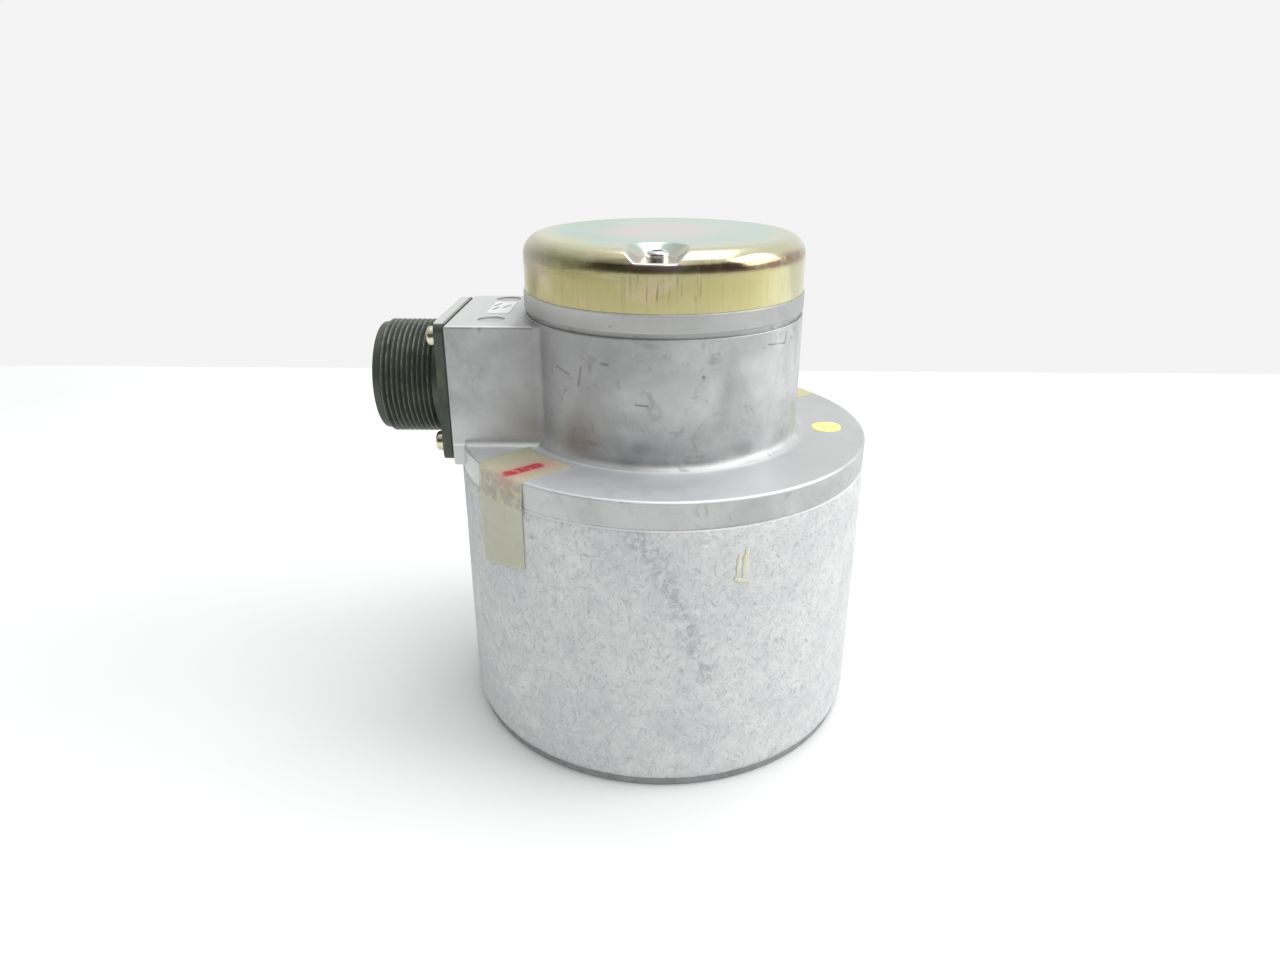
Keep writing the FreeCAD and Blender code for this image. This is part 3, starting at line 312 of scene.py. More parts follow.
def cast_aluminium():
    """Grit-blasted casting, machined on the flange and collar, handled and a little dirty; painted shadow at
    the drum's foot, painted shade on its left side, painted highlights on the boss top and low corner, and
    painted light and shade across rim, collar and flange top.
    """
    g = Graph("cast_aluminium")
    cloud = g.noise(0.055, 3, 0.5, 0.6)
    patch = g.noise(0.22, 5, 0.6, 0.4)
    colour = g.ramp(
        cloud, [(0.30, (0.43, 0.44, 0.435)), (0.52, (0.545, 0.555, 0.55)), (0.72, (0.65, 0.66, 0.655))]
    )
    colour = g.mix(g.fade(patch, 0.35, 0.75), g.mix(1.0, colour, (0.88, 0.88, 0.89), "MULTIPLY"), colour)

    radial = g.radius(g.x, g.y)
    flange_top = g.band(g.z, FLANGE_TOP - 0.25, FLANGE_TOP + 0.3, 0.1)
    collar = g.fade(g.z, COLLAR_FOOT, COLLAR_FOOT + 0.3)
    rim = g.times(g.fade(radial, FLANGE_R - 0.5, FLANGE_R - 0.2), g.fade(g.z, 9.0, 8.5))
    machined = g.math("MAXIMUM", flange_top, collar)

    soot = g.noise(0.16, 6, 0.65, 1.2)
    soot = g.fade(soot, 0.54, 0.72)
    # Darker patches in a band up the drum from its foot, z 9 to 20 mm, fading out towards the boss at -X.
    foot_darkening = g.times(g.band(g.z, 9.0, 20.0, 5.0), g.fade(g.noise(0.11, 4, 0.6, 0.5), 0.48, 0.72))
    foot_darkening = g.times(foot_darkening, g.fade(g.x, -40.0, -34.0))
    # Soot together with the darker foot band, weaker on machined faces.
    soot_and_foot_darkening = g.math("MAXIMUM", g.times(soot, 0.52), g.times(foot_darkening, 0.24))
    soot_and_foot_darkening = g.times(soot_and_foot_darkening, g.rest(g.times(machined, 0.8)))
    colour = g.mix(soot_and_foot_darkening, colour, (0.27, 0.255, 0.25))
    warm = g.stroke(*WARM_STAIN, 1.5, 5.0)
    colour = g.mix(g.times(warm, 0.22), colour, (0.38, 0.30, 0.27))
    # Painted shadow: the dark crescent near the drum's foot.
    foot_shadow = g.stroke(*FOOT_SHADOW_CRESCENT, 0.5, 2.2)
    colour = g.mix(g.times(foot_shadow, 0.55), colour, (0.29, 0.29, 0.30))

    for start, end, width in SCRATCHES:
        colour = g.mix(g.times(g.stroke(start, end, width, 0.25), 0.6), colour, (0.15, 0.125, 0.125))

    rim_dirt = g.fade(g.noise(0.30, 6, 0.7, 0.8), 0.55, 0.72)
    colour = g.mix(g.times(g.times(rim, rim_dirt), 0.35), colour, (0.30, 0.30, 0.31))
    # Painted light and shade on the flange rim: lighter towards -X, darker towards +X.
    rim_painted_shading = g.mix(g.fade(g.x, -35.0, 40.0), (0.80, 0.79, 0.78), (0.42, 0.43, 0.42))
    colour = g.mix(g.times(rim, 0.25), colour, rim_painted_shading)
    # Painted light and shade on the machined collar band: lighter towards -X, darker towards +X.
    collar_painted_shading = g.mix(g.fade(g.x, -30.0, 34.0), (0.72, 0.72, 0.69), (0.36, 0.365, 0.355))
    colour = g.mix(g.times(collar, 0.45), colour, collar_painted_shading)
    # Machined flange top with painted light: lighter on the lit -X side, darker towards +X.
    lit_side = g.fade(g.x, 45.0, -10.0)
    machined_top_painted_light = g.mix(lit_side, (0.50, 0.51, 0.51), (0.88, 0.905, 0.935))
    colour = g.mix(g.times(flange_top, 0.8), colour, machined_top_painted_light)
    # Painted light: the boss's top face is made lighter.
    boss_top_painted_light = g.times(g.fade(g.z, BOSS_TOP - 0.5, BOSS_TOP - 0.1), g.fade(g.x, -37.5, -39.5))
    colour = g.mix(g.times(boss_top_painted_light, 0.8), colour, (0.70, 0.71, 0.71))
    pits = g.fade(g.cells(0.8), 0.10, 0.05)
    colour = g.mix(g.times(pits, 0.25), colour, (0.28, 0.28, 0.28))

    skin = g.noise(1.1, 5, 0.6)
    grain = g.noise(5.0, 3, 0.6)
    turning = g.noise(1.0, 3, 0.6, place=g.joined(g.times(radial, 7.0), g.times(g.z, 5.0), 0.0))
    height = g.add(g.times(skin, g.rest(machined)), g.times(g.times(turning, 0.25), machined))
    height = g.add(height, g.times(grain, 0.12))
    rough = g.add(g.add(0.50, g.swing(patch, 0.25)), g.times(soot_and_foot_darkening, 0.12))
    # Painted shade: the drum's left side, between x -40 and -14 mm, is darkened.
    left_painted_shade = g.times(g.band(g.x, -40.0, -14.0, 7.0), g.band(g.z, 12.0, 46.0, 3.0))
    # Painted highlight: the low corner of the drum towards the boss is lightened.
    low_corner_painted_highlight = g.times(g.fade(g.z, 20.0, 11.0), g.fade(g.x, -24.0, -42.0))
    colour = g.mix(g.times(low_corner_painted_highlight, 0.45), colour, (0.76, 0.77, 0.76))
    colour = g.mix(g.times(left_painted_shade, 0.5), colour, (0.25, 0.25, 0.245))
    normal = g.bump(height, 0.05, 0.55, below=g.soft_edges(0.25))
    return g.done(colour, rough, normal, Metallic=0.82)


def chromated_steel():
    """Yellow chromate film: its tint follows the drawn form and drifts in clouds; a painted dark reflection
    lies in a band on the lower shoulder and painted light on the lower right of the skirt.
    """
    g = Graph("chromated_steel")
    radial = g.radius(g.x, g.y)
    drop = g.math("SUBTRACT", CAP_TOP, g.z)
    path = g.add(g.times(radial, 0.5), drop)
    path = g.add(path, g.times(g.y, -0.09))
    drift = g.noise(0.045, 3, 0.5, 0.8)
    ripple = g.noise(0.16, 3, 0.5, 0.5)
    path = g.add(path, g.swing(drift, 11.0))
    path = g.add(path, g.swing(ripple, 4.0))
    share = g.math("DIVIDE", path, 40.0, clamp=True)
    film = [
        (0.00, (0.55, 0.60, 0.56)),
        (0.12, (0.62, 0.56, 0.54)),
        (0.22, (0.49, 0.60, 0.53)),
        (0.34, (0.46, 0.59, 0.52)),
        (0.44, (0.57, 0.60, 0.45)),
        (0.54, (0.60, 0.57, 0.38)),
        (0.64, (0.44, 0.43, 0.22)),
        (0.74, (0.47, 0.42, 0.20)),
        (0.86, (0.50, 0.46, 0.23)),
        (1.00, (0.54, 0.44, 0.27)),
    ]
    colour = g.ramp(share, film)
    blush = g.fade(g.noise(0.07, 3, 0.5, 1.0), 0.52, 0.72)
    colour = g.mix(g.times(blush, 0.22), colour, (0.78, 0.56, 0.54))
    # Painted dark reflection in a band on the lower shoulder: olive-dark on the left half, reddish-brown and
    # stronger on the right.
    shoulder_painted_reflection = g.times(g.band(g.z, 56.6, 59.4, 0.8), g.fade(g.noise(0.4, 5, 0.7, 0.5), 0.25, 0.60))
    right_half = g.fade(g.x, 4.0, 12.0)
    painted_reflection_tone = g.mix(right_half, (0.22, 0.20, 0.10), (0.26, 0.14, 0.12))
    colour = g.mix(g.times(shoulder_painted_reflection, g.add(0.50, g.times(right_half, 0.3))), colour, painted_reflection_tone)
    # Painted dark reflection on the left half of the shoulder band, broken into olive streaks.
    lines = g.noise(1.0, 4, 0.65, place=g.mapped((0.09, 0.09, 0.9)))
    olive = g.times(g.fade(lines, 0.50, 0.62), g.band(g.z, 55.5, 60.0, 1.2))
    olive = g.times(olive, g.times(g.fade(g.x, -3.0, -10.0), g.fade(g.x, -36.0, -28.0)))
    colour = g.mix(g.times(olive, 0.8), colour, (0.27, 0.25, 0.08))
    recess_blush = g.stroke(*RECESS_RIM, 5.0, 3.5)
    recess_blush = g.times(recess_blush, g.fade(g.z, 57.2, 58.6))
    colour = g.mix(g.times(recess_blush, 0.75), colour, (0.70, 0.61, 0.59))
    # Painted light: the skirt is made lighter and yellower on its lower right.
    right_painted_light = g.times(g.fade(g.x, 20.0, 33.0), g.fade(g.z, 58.0, 55.0))
    colour = g.mix(g.times(right_painted_light, 0.5), colour, (0.76, 0.76, 0.54))
    left_blush = g.times(g.fade(g.x, -22.0, -37.0), g.fade(g.z, 50.0, 58.0))
    colour = g.mix(g.times(left_blush, 0.5), colour, (0.74, 0.68, 0.67))

    angle = g.math("ARCTAN2", g.x, g.times(g.y, -1.0))
    streak_place = g.joined(g.times(angle, CAP_R * 1.1), g.times(g.z, 0.07), 0.0)
    streaks = g.fade(g.noise(1.0, 4, 0.7, place=streak_place), 0.50, 0.72)
    near_front = g.times(g.fade(g.math("ABSOLUTE", g.times(angle, CAP_R)), 13.0, 6.0), g.fade(g.y, 0.0, -5.0))
    below_recess = g.times(near_front, g.band(g.z, 50.5, 57.0, 1.6))
    everywhere = g.times(g.band(g.z, CAP_FOOT - 1.0, 57.5, 1.5), 0.18)
    marks = g.times(streaks, g.math("MAXIMUM", g.times(below_recess, 0.9), everywhere))
    colour = g.mix(marks, colour, (0.24, 0.21, 0.12))

    scuffs = g.fade(g.noise(0.5, 6, 0.7, 0.3), 0.60, 0.80)
    rough = g.add(0.15, g.times(scuffs, 0.12))
    rough = g.add(rough, g.times(marks, 0.25))
    dull_left = g.times(g.fade(g.x, -8.0, -24.0), g.fade(g.z, 53.0, 56.0))
    rough = g.add(rough, g.times(dull_left, 0.17))
    rough = g.add(rough, g.times(g.fade(drop, 1.5, 0.3), 0.10))
    waves = g.noise(0.09, 2, 0.5)
    fine = g.noise(2.5, 3, 0.6)
    height = g.add(g.times(waves, 1.6), g.times(fine, 0.06))
    height = g.math("SUBTRACT", height, g.times(marks, 0.15))
    normal = g.bump(height, 0.12, 0.5, below=g.soft_edges(0.35))
    return g.done(colour, rough, normal, Metallic=1.0)


def olive_aluminium():
    """Olive-drab plated shell: thread crests rubbed pale, with a painted highlight making them palest on top.
    """
    g = Graph("olive_aluminium")
    across = g.radius(g.y, g.math("SUBTRACT", g.z, CONN_Z))
    cloud = g.noise(0.18, 4, 0.6, 0.4)
    colour = g.ramp(cloud, [(0.3, (0.048, 0.058, 0.046)), (0.7, (0.090, 0.100, 0.080))])
    threaded = g.fade(g.x, THREAD_START_X, THREAD_START_X - 1.0)
    crest = g.times(g.fade(across, THREAD_R - 0.35, THREAD_R - 0.02), threaded)
    rubbed = g.times(crest, g.fade(g.noise(0.5, 5, 0.7), 0.35, 0.65))
    # Painted highlight: the rubbed crests are made paler towards the top.
    upper_painted_highlight = g.fade(g.z, CONN_Z + 2.0, CONN_Z + 13.0)
    colour = g.mix(g.times(rubbed, g.add(0.50, g.times(upper_painted_highlight, 0.5))), colour, (0.24, 0.25, 0.21))
    chips = g.fade(g.noise(0.9, 6, 0.75), 0.68, 0.76)
    colour = g.mix(g.times(chips, 0.5), colour, (0.25, 0.24, 0.19))
    plate_top = g.fade(g.z, SHELL_HIGH.z - 0.5, SHELL_HIGH.z - 0.1)
    plate_top = g.times(plate_top, g.fade(g.noise(0.8, 5, 0.7), 0.20, 0.38))
    colour = g.mix(g.times(plate_top, 0.9), colour, (0.66, 0.67, 0.65))
    rough = g.add(0.34, g.times(g.noise(0.6, 4, 0.6), 0.16))
    normal = g.bump(g.noise(4.0, 4, 0.6), 0.02, 0.6, below=g.soft_edges(0.12))
    return g.done(colour, rough, normal, Metallic=0.45)


def plated(name, low, high, rough, per_mm=0.5, spots=(0.25, 0.22, 0.16)):
    """Plated or bare metal with clouding, faint spots and a fine grain."""
    g = Graph(name)
    cloud = g.noise(per_mm, 4, 0.6, 0.3)
    colour = g.ramp(cloud, [(0.3, low), (0.7, high)])
    spot = g.fade(g.noise(per_mm * 3, 5, 0.7), 0.63, 0.78)
    colour = g.mix(g.times(spot, 0.35), colour, spots)
    roughness = g.add(rough, g.swing(g.noise(per_mm * 2, 3), 0.18))
    normal = g.bump(g.noise(6.0, 3, 0.6), 0.012, 0.5)
    return g.done(colour, roughness, normal, Metallic=1.0)


def moulded(name, low, high, rough, per_mm=0.6, **fixed):
    """Moulded or rubbery surface with a light mottle and a fine texture."""
    g = Graph(name)
    cloud = g.noise(per_mm, 4, 0.6)
    colour = g.ramp(cloud, [(0.3, low), (0.7, high)])
    pale_patches = g.fade(g.noise(per_mm * 4, 5, 0.7), 0.62, 0.82)
    colour = g.mix(g.times(pale_patches, 0.2), colour, (0.5, 0.5, 0.48))
    roughness = g.add(rough, g.swing(cloud, 0.15))
    normal = g.bump(g.noise(5.0, 3, 0.6), 0.02, 0.4)
    return g.done(colour, roughness, normal, **fixed)


def black_rubber():
    """Black rubber; the gasket's upper edge, open to the air beside the plate, is made pale grey in noisy
    patches.
    """
    g = Graph("black_rubber")
    cloud = g.noise(0.6, 4, 0.6)
    colour = g.ramp(cloud, [(0.3, (0.018, 0.018, 0.018)), (0.7, (0.035, 0.035, 0.034))])
    upper_edge = g.times(g.fade(g.z, SHELL_HIGH.z - 0.5, SHELL_HIGH.z - 0.1), g.fade(g.x, -50.0, -54.0))
    pale_patches = g.fade(g.noise(0.9, 5, 0.7), 0.25, 0.50)
    colour = g.mix(g.times(g.times(upper_edge, pale_patches), 0.85), colour, (0.42, 0.42, 0.41))
    rough = g.add(0.62, g.swing(cloud, 0.15))
    return g.done(colour, rough, g.bump(g.noise(5.0, 3, 0.6), 0.02, 0.4))


def code_glass():
    """Glass with a ring of fine radial chrome lines."""
    g = Graph("code_glass")
    radial = g.radius(g.x, g.y)
    angle = g.math("ARCTAN2", g.x, g.y)
    line = g.math("SINE", g.times(angle, 360.0))
    track = g.band(radial, 19.5, 23.0, 0.1)
    lines = g.times(g.fade(line, -0.2, 0.2), track)
    clean = g.ramp(g.noise(0.2, 3), [(0.3, (0.55, 0.62, 0.60)), (0.7, (0.62, 0.68, 0.66))])
    colour = g.mix(lines, clean, (0.10, 0.10, 0.11))
    return g.done(colour, 0.08, None, Metallic=0.1)


def paperboard():
    """Grey recycled board: pulp clouds with crossing dark and light fibres."""
    g = Graph("grey_paperboard")
    angle = g.math("ARCTAN2", g.x, g.times(g.y, -1.0))
    flat = g.joined(g.times(angle, TUBE_R), g.z, 0.0)
    wander = g.tree.nodes.new("ShaderNodeTexNoise")
    wander.inputs["Scale"].default_value = 0.16
    g.link(flat, wander.inputs["Vector"])
    shift = g.tree.nodes.new("ShaderNodeVectorMath")
    shift.operation = "MULTIPLY_ADD"
    g.link(wander.outputs["Color"], shift.inputs[0])
    shift.inputs[1].default_value = (7.0, 7.0, 0.0)
    g.link(flat, shift.inputs[2])
    bent = shift.outputs[0]

    pulp = g.noise(0.045, 4, 0.6, 0.5)
    fleck = g.noise(0.30, 5, 0.65, 0.8)
    colour = g.ramp(
        pulp, [(0.30, (0.55, 0.57, 0.57)), (0.50, (0.63, 0.64, 0.635)), (0.70, (0.69, 0.695, 0.68))]
    )
    colour = g.mix(g.fade(fleck, 0.40, 0.64), g.mix(1.0, colour, (0.90, 0.912, 0.92), "MULTIPLY"), colour)
    bluish = g.fade(g.noise(0.10, 4, 0.6, 1.2), 0.57, 0.74)
    colour = g.mix(g.times(bluish, 0.32), colour, (0.43, 0.455, 0.475))

    height = g.times(fleck, 0.5)
    for kind in FIBRES:
        for i, turn in enumerate(kind["turns"]):
            offset = [step * i for step in kind["shift"]]
            place = g.mapped((1, 1, 1), (0, 0, math.radians(turn)), (*offset, 0), bent)
            place = g.mapped((*kind["stretch"], 1), place=place)
            fibre = g.fade(g.noise(1.0, *kind["noise"], place=place), *kind["threshold"])
            colour = g.mix(g.times(fibre, kind["cover"]), colour, kind["colour"])
            height = g.add(height, g.times(fibre, kind["relief"]))
    vein = g.math("MAXIMUM", g.stroke(*UPPER_VEIN, 0.8, 4.5), g.stroke(*LOWER_VEIN, 0.4, 4.0))
    vein = g.times(vein, g.fade(g.noise(0.45, 5, 0.7, 1.0), 0.42, 0.62))
    colour = g.mix(g.times(vein, 0.85), colour, (0.35, 0.365, 0.385))
    specks = g.fade(g.cells(0.55, place=bent), 0.14, 0.05)
    keep = g.fade(g.noise(0.35, 2), 0.48, 0.60)
    colour = g.mix(g.times(g.times(specks, keep), 0.55), colour, (0.26, 0.28, 0.31))
    lip = g.fade(g.z, TUBE_HIGH.z - 0.75, TUBE_HIGH.z - 0.45)
    colour = g.mix(g.times(lip, 0.9), colour, (0.93, 0.93, 0.92))
    grain = g.noise(3.0, 4, 0.65)
    height = g.add(height, g.times(grain, 0.35))
    rough = g.add(0.72, g.swing(fleck, 0.2))
    return g.done(colour, rough, g.bump(height, 0.14, 0.8))


def dark_board():
    """Dark pressed board of the end disc, fuzzy where it is worn."""
    g = Graph("dark_board")
    colour = g.ramp(g.noise(0.35, 5, 0.65), [(0.3, (0.19, 0.20, 0.20)), (0.7, (0.30, 0.31, 0.31))])
    fuzz = g.fade(g.noise(1.8, 5, 0.7), 0.58, 0.75)
    colour = g.mix(g.times(fuzz, 0.35), colour, (0.30, 0.30, 0.29))
    ring_place = g.joined(g.times(g.radius(g.x, g.y), 1.2), g.z, 0.0)
    height = g.add(g.noise(1.0, 4, 0.6), g.times(g.noise(1.0, 3, place=ring_place), 0.4))
    return g.done(colour, g.add(0.6, g.times(fuzz, 0.2)), g.bump(height, 0.08, 0.6))


def aged_tape():
    """Old clear tape, yellowed, cloudy where it has let go, with a red marker dash."""
    g = Graph("aged_tape")
    cloud = g.noise(0.14, 4, 0.6, 0.7)
    colour = g.ramp(
        cloud, [(0.30, (0.56, 0.54, 0.40)), (0.50, (0.66, 0.64, 0.48)), (0.72, (0.76, 0.74, 0.60))]
    )
    on_top = g.fade(g.z, FLANGE_TOP - 0.4, FLANGE_TOP - 0.05)
    colour = g.mix(g.times(on_top, 0.55), colour, (0.66, 0.61, 0.42))
    loose = g.fade(g.noise(0.35, 4, 0.6, 0.6), 0.42, 0.60)
    at_rim = g.times(g.band(g.z, 0.6, FLANGE_TOP - 0.8, 0.4), loose)
    colour = g.mix(g.times(at_rim, 0.65), colour, (0.42, 0.38, 0.32))
    lower = g.fade(g.z, 0.2, -1.0)
    colour = g.mix(g.times(lower, 0.55), colour, (0.62, 0.64, 0.53))
    colour = g.mix(g.times(g.fade(g.x, 0.0, 20.0), 0.5), colour, (0.74, 0.68, 0.36))
    halo = g.stroke(*MARKER_SMEAR, 1.0, 5.5)
    colour = g.mix(g.times(halo, 0.55), colour, (0.72, 0.36, 0.33))
    core = g.stroke(*MARKER_DASH, 1.2, 0.9)
    blot = g.fade(g.noise(0.6, 4, 0.6), 0.30, 0.48)
    colour = g.mix(g.times(g.times(core, blot), 0.95), colour, (0.62, 0.035, 0.055))
    bubbles = g.fade(g.noise(0.7, 3, 0.5, 0.4), 0.45, 0.62)
    rough = g.add(0.30, g.times(cloud, 0.25))
    normal = g.bump(g.add(bubbles, g.times(g.noise(2.0, 3), 0.3)), 0.05, 0.6)
    material = g.done(colour, rough, normal, Alpha=0.62, Specular_IOR_Level=0.45)
    material.blend_method = "HASHED"
    return material


def paper_label():
    """White label with three short pen strokes on it."""
    g = Graph("white_label")
    colour = g.ramp(g.noise(0.5, 4, 0.6), [(0.3, (0.82, 0.83, 0.83)), (0.7, (0.88, 0.89, 0.88))])
    centre = (LABEL_LOW + LABEL_HIGH) / 2
    for x, y, lean in PEN_STROKES:
        a = (centre.x + x - lean, centre.y + y - 1.6, BOSS_TOP)
        b = (centre.x + x + lean * 0.4, centre.y + y + 1.6, BOSS_TOP)
        colour = g.mix(g.times(g.stroke(a, b, 0.26, 0.3), 0.85), colour, (0.16, 0.17, 0.19))
    return g.done(colour, 0.62, g.bump(g.noise(2.0, 4, 0.6), 0.03, 0.5))


def yellow_sticker():
    """Matt fluorescent paper."""
    g = Graph("yellow_sticker")
    colour = g.ramp(g.noise(0.45, 4, 0.6), [(0.3, (0.88, 0.90, 0.24)), (0.7, (0.94, 0.95, 0.34))])
    return g.done(colour, 0.45, g.bump(g.noise(1.2, 4, 0.6), 0.03, 0.5), Specular_IOR_Level=0.4)


def cream_splinter():
    """Torn paper fibre, streaked along its length."""
    g = Graph("cream_splinter")
    grain = g.noise(1.0, 4, 0.6, place=g.mapped((2.5, 2.5, 0.35)))
    colour = g.ramp(grain, [(0.3, (0.50, 0.49, 0.36)), (0.7, (0.74, 0.74, 0.60))])
    return g.done(colour, 0.7, g.bump(grain, 0.05, 0.6))


def wire_insulation():
    """Four wire colours, repeated across the row of wires."""
    g = Graph("wire_insulation")
    share = g.math("DIVIDE", g.add(g.y, 11.0), 22.0)
    colours = [(0.60, 0.05, 0.04), (0.04, 0.04, 0.04), (0.10, 0.30, 0.60), (0.70, 0.60, 0.10)]
    stops = [(i / 8, colours[i % 4]) for i in range(8)]
    colour = g.ramp(share, stops)
    colour = g.mix(g.times(g.noise(0.6, 4), 0.2), colour, (0.7, 0.7, 0.68))
    return g.done(colour, 0.4, g.bump(g.noise(2.0, 3), 0.02, 0.3))


FINISHES = {
    "cast_aluminium": cast_aluminium(),
    "chromated_steel": chromated_steel(),
    "black_rubber": black_rubber(),
    "zinc_steel": plated("zinc_steel", (0.62, 0.63, 0.62), (0.78, 0.78, 0.76), 0.22),
    "olive_aluminium": olive_aluminium(),
    "dark_insulator": moulded("dark_insulator", (0.012, 0.014, 0.012), (0.028, 0.032, 0.027), 0.42),
    "contact_brass": plated("contact_brass", (0.72, 0.66, 0.50), (0.86, 0.81, 0.68), 0.20),
    "nickel_steel": plated("nickel_steel", (0.60, 0.57, 0.42), (0.78, 0.76, 0.62), 0.20, 0.7),
    "wire_insulation": wire_insulation(),
    "white_label": paper_label(),
    "yellow_sticker": yellow_sticker(),
    "old_tape": aged_tape(),
    "bearing_steel": plated("bearing_steel", (0.66, 0.66, 0.67), (0.74, 0.74, 0.75), 0.12),
    "sheet_steel": plated("sheet_steel", (0.52, 0.52, 0.52), (0.64, 0.64, 0.64), 0.30),
    "turned_aluminium": plated("turned_aluminium", (0.70, 0.71, 0.72), (0.80, 0.81, 0.82), 0.26),
    "shaft_steel": plated("shaft_steel", (0.58, 0.58, 0.58), (0.68, 0.68, 0.68), 0.20, 0.3),
    "code_glass": code_glass(),
    "black_plastic": moulded("black_plastic", (0.014, 0.014, 0.015), (0.030, 0.030, 0.031), 0.45),
    "clear_resin": moulded("clear_resin", (0.66, 0.67, 0.66), (0.78, 0.79, 0.78), 0.12),
    "board_green": moulded("board_green", (0.012, 0.11, 0.035), (0.02, 0.16, 0.05), 0.35, 0.3),
    "capacitor_sleeve": moulded("capacitor_sleeve", (0.02, 0.03, 0.08), (0.03, 0.045, 0.11), 0.35),
    "board_ceramic": moulded("board_ceramic", (0.03, 0.03, 0.035), (0.06, 0.06, 0.065), 0.5),
    "cream_plastic": moulded("cream_plastic", (0.62, 0.58, 0.44), (0.72, 0.68, 0.54), 0.5),
    "standoff_brass": plated("standoff_brass", (0.62, 0.47, 0.18), (0.74, 0.60, 0.30), 0.26),
    "grey_paperboard": paperboard(),
    "dark_board": dark_board(),
}


def finish_cad_nodes():
    """Gives every CAD node the finish of its material slot."""
    slots = {entry["node"]: entry["material_slot"] for entry in frame["record"]["subparts"]}
    for name, piece in frame["nodes"].items():
        piece.data.materials.clear()
        piece.data.materials.append(FINISHES[slots[name]])


# ------------------------------------------------------------------------------- meshes


def mesh_piece(name, points, faces, finish, body, slot, *replaced):
    """A mesh from points in millimetres, shaded smooth, riding on a body."""
    mesh = bpy.data.meshes.new(name)
    mesh.from_pydata([Vector(p) * MM for p in points], [], faces)
    mesh.validate()
    for polygon in mesh.polygons:
        polygon.use_smooth = True
    mesh.materials.append(finish)
    piece = bpy.data.objects.new(name, mesh)
    bpy.context.scene.collection.objects.link(piece)
    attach(piece, body)
    if replaced:
        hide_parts(*replaced)
    return piece


def grid_faces(rows, columns, closed_rows=False, closed_columns=False, first=0):
    """Quads over a grid of points, which may close on itself either way."""
    faces = []
    for i in range(rows if closed_rows else rows - 1):
        for j in range(columns if closed_columns else columns - 1):
            a = i * columns + j
            b = i * columns + (j + 1) % columns
            c = (i + 1) % rows * columns + (j + 1) % columns
            d = (i + 1) % rows * columns + j
            faces.append((first + a, first + b, first + c, first + d))
    return faces


def sheet_faces(rows, width):
    """Faces of a thin closed sheet: its lower grid of points first, then its upper one."""
    count = rows * width
    faces = [tuple(reversed(f)) for f in grid_faces(rows, width)]
    faces += grid_faces(rows, width, first=count)
    rim = list(range(width))
    rim += [i * width + width - 1 for i in range(1, rows)]
    rim += [(rows - 1) * width + j for j in range(width - 2, -1, -1)]
    rim += [i * width for i in range(rows - 2, 0, -1)]
    faces += [(a, b, b + count, a + count) for a, b in zip(rim, rim[1:] + rim[:1])]
    return faces


def noise_at(x, y, z, per_mm):
    return noise.noise(Vector((x, y, z)) * per_mm)


def paper_tube():
    """Hand-cut paper tube: faint dents in its wall, soft uneven ends."""
    turns = 300
    outer_rows = 46
    low, high = TUBE_LOW.z, TUBE_HIGH.z
    inner = TUBE_R - TUBE_WALL + 0.02
    section = [(inner, low + (high - low) * i / 8) for i in range(9)]
    section += [(inner + 0.5, high), (TUBE_R - 0.9, high)]
    for i in range(outer_rows + 1):
        share = i / outer_rows
        edge = 0.55 * max(0.0, 1 - min(i, outer_rows - i) / 1.5) ** 2
        section.append((TUBE_R - edge, high - 0.12 + (low - high + 0.24) * share))
    section += [(TUBE_R - 1.1, low), (inner + 0.5, low)]
    points = []
    for r, z in section:
        for j in range(turns):
            a = 2 * math.pi * j / turns
            c, s = math.cos(a), math.sin(a)
            outside = r > TUBE_R - 1.0
            dent = 0.0
            drop = 0.0
            if outside:
                dent = 0.10 + 0.10 * noise_at(r * c, r * s, z, 0.035)
                dent += 0.05 * noise_at(r * c, r * s, z, 0.16)
            if z > high - 1.5:
                drop = 0.10 + 0.10 * noise_at(r * c, r * s, 0.0, 0.5)
            if z < low + 1.5:
                drop = -0.10 - 0.10 * noise_at(r * c, r * s, 40.0, 0.5)
            r_here = r - max(dent, 0.0)
            points.append((r_here * c, r_here * s, z - drop))
    faces = grid_faces(len(section), turns, closed_rows=True, closed_columns=True)
    finish = FINISHES["grey_paperboard"]
    return mesh_piece("paper_tube", points, faces, finish, "tube", "grey_paperboard", "protective_tube")


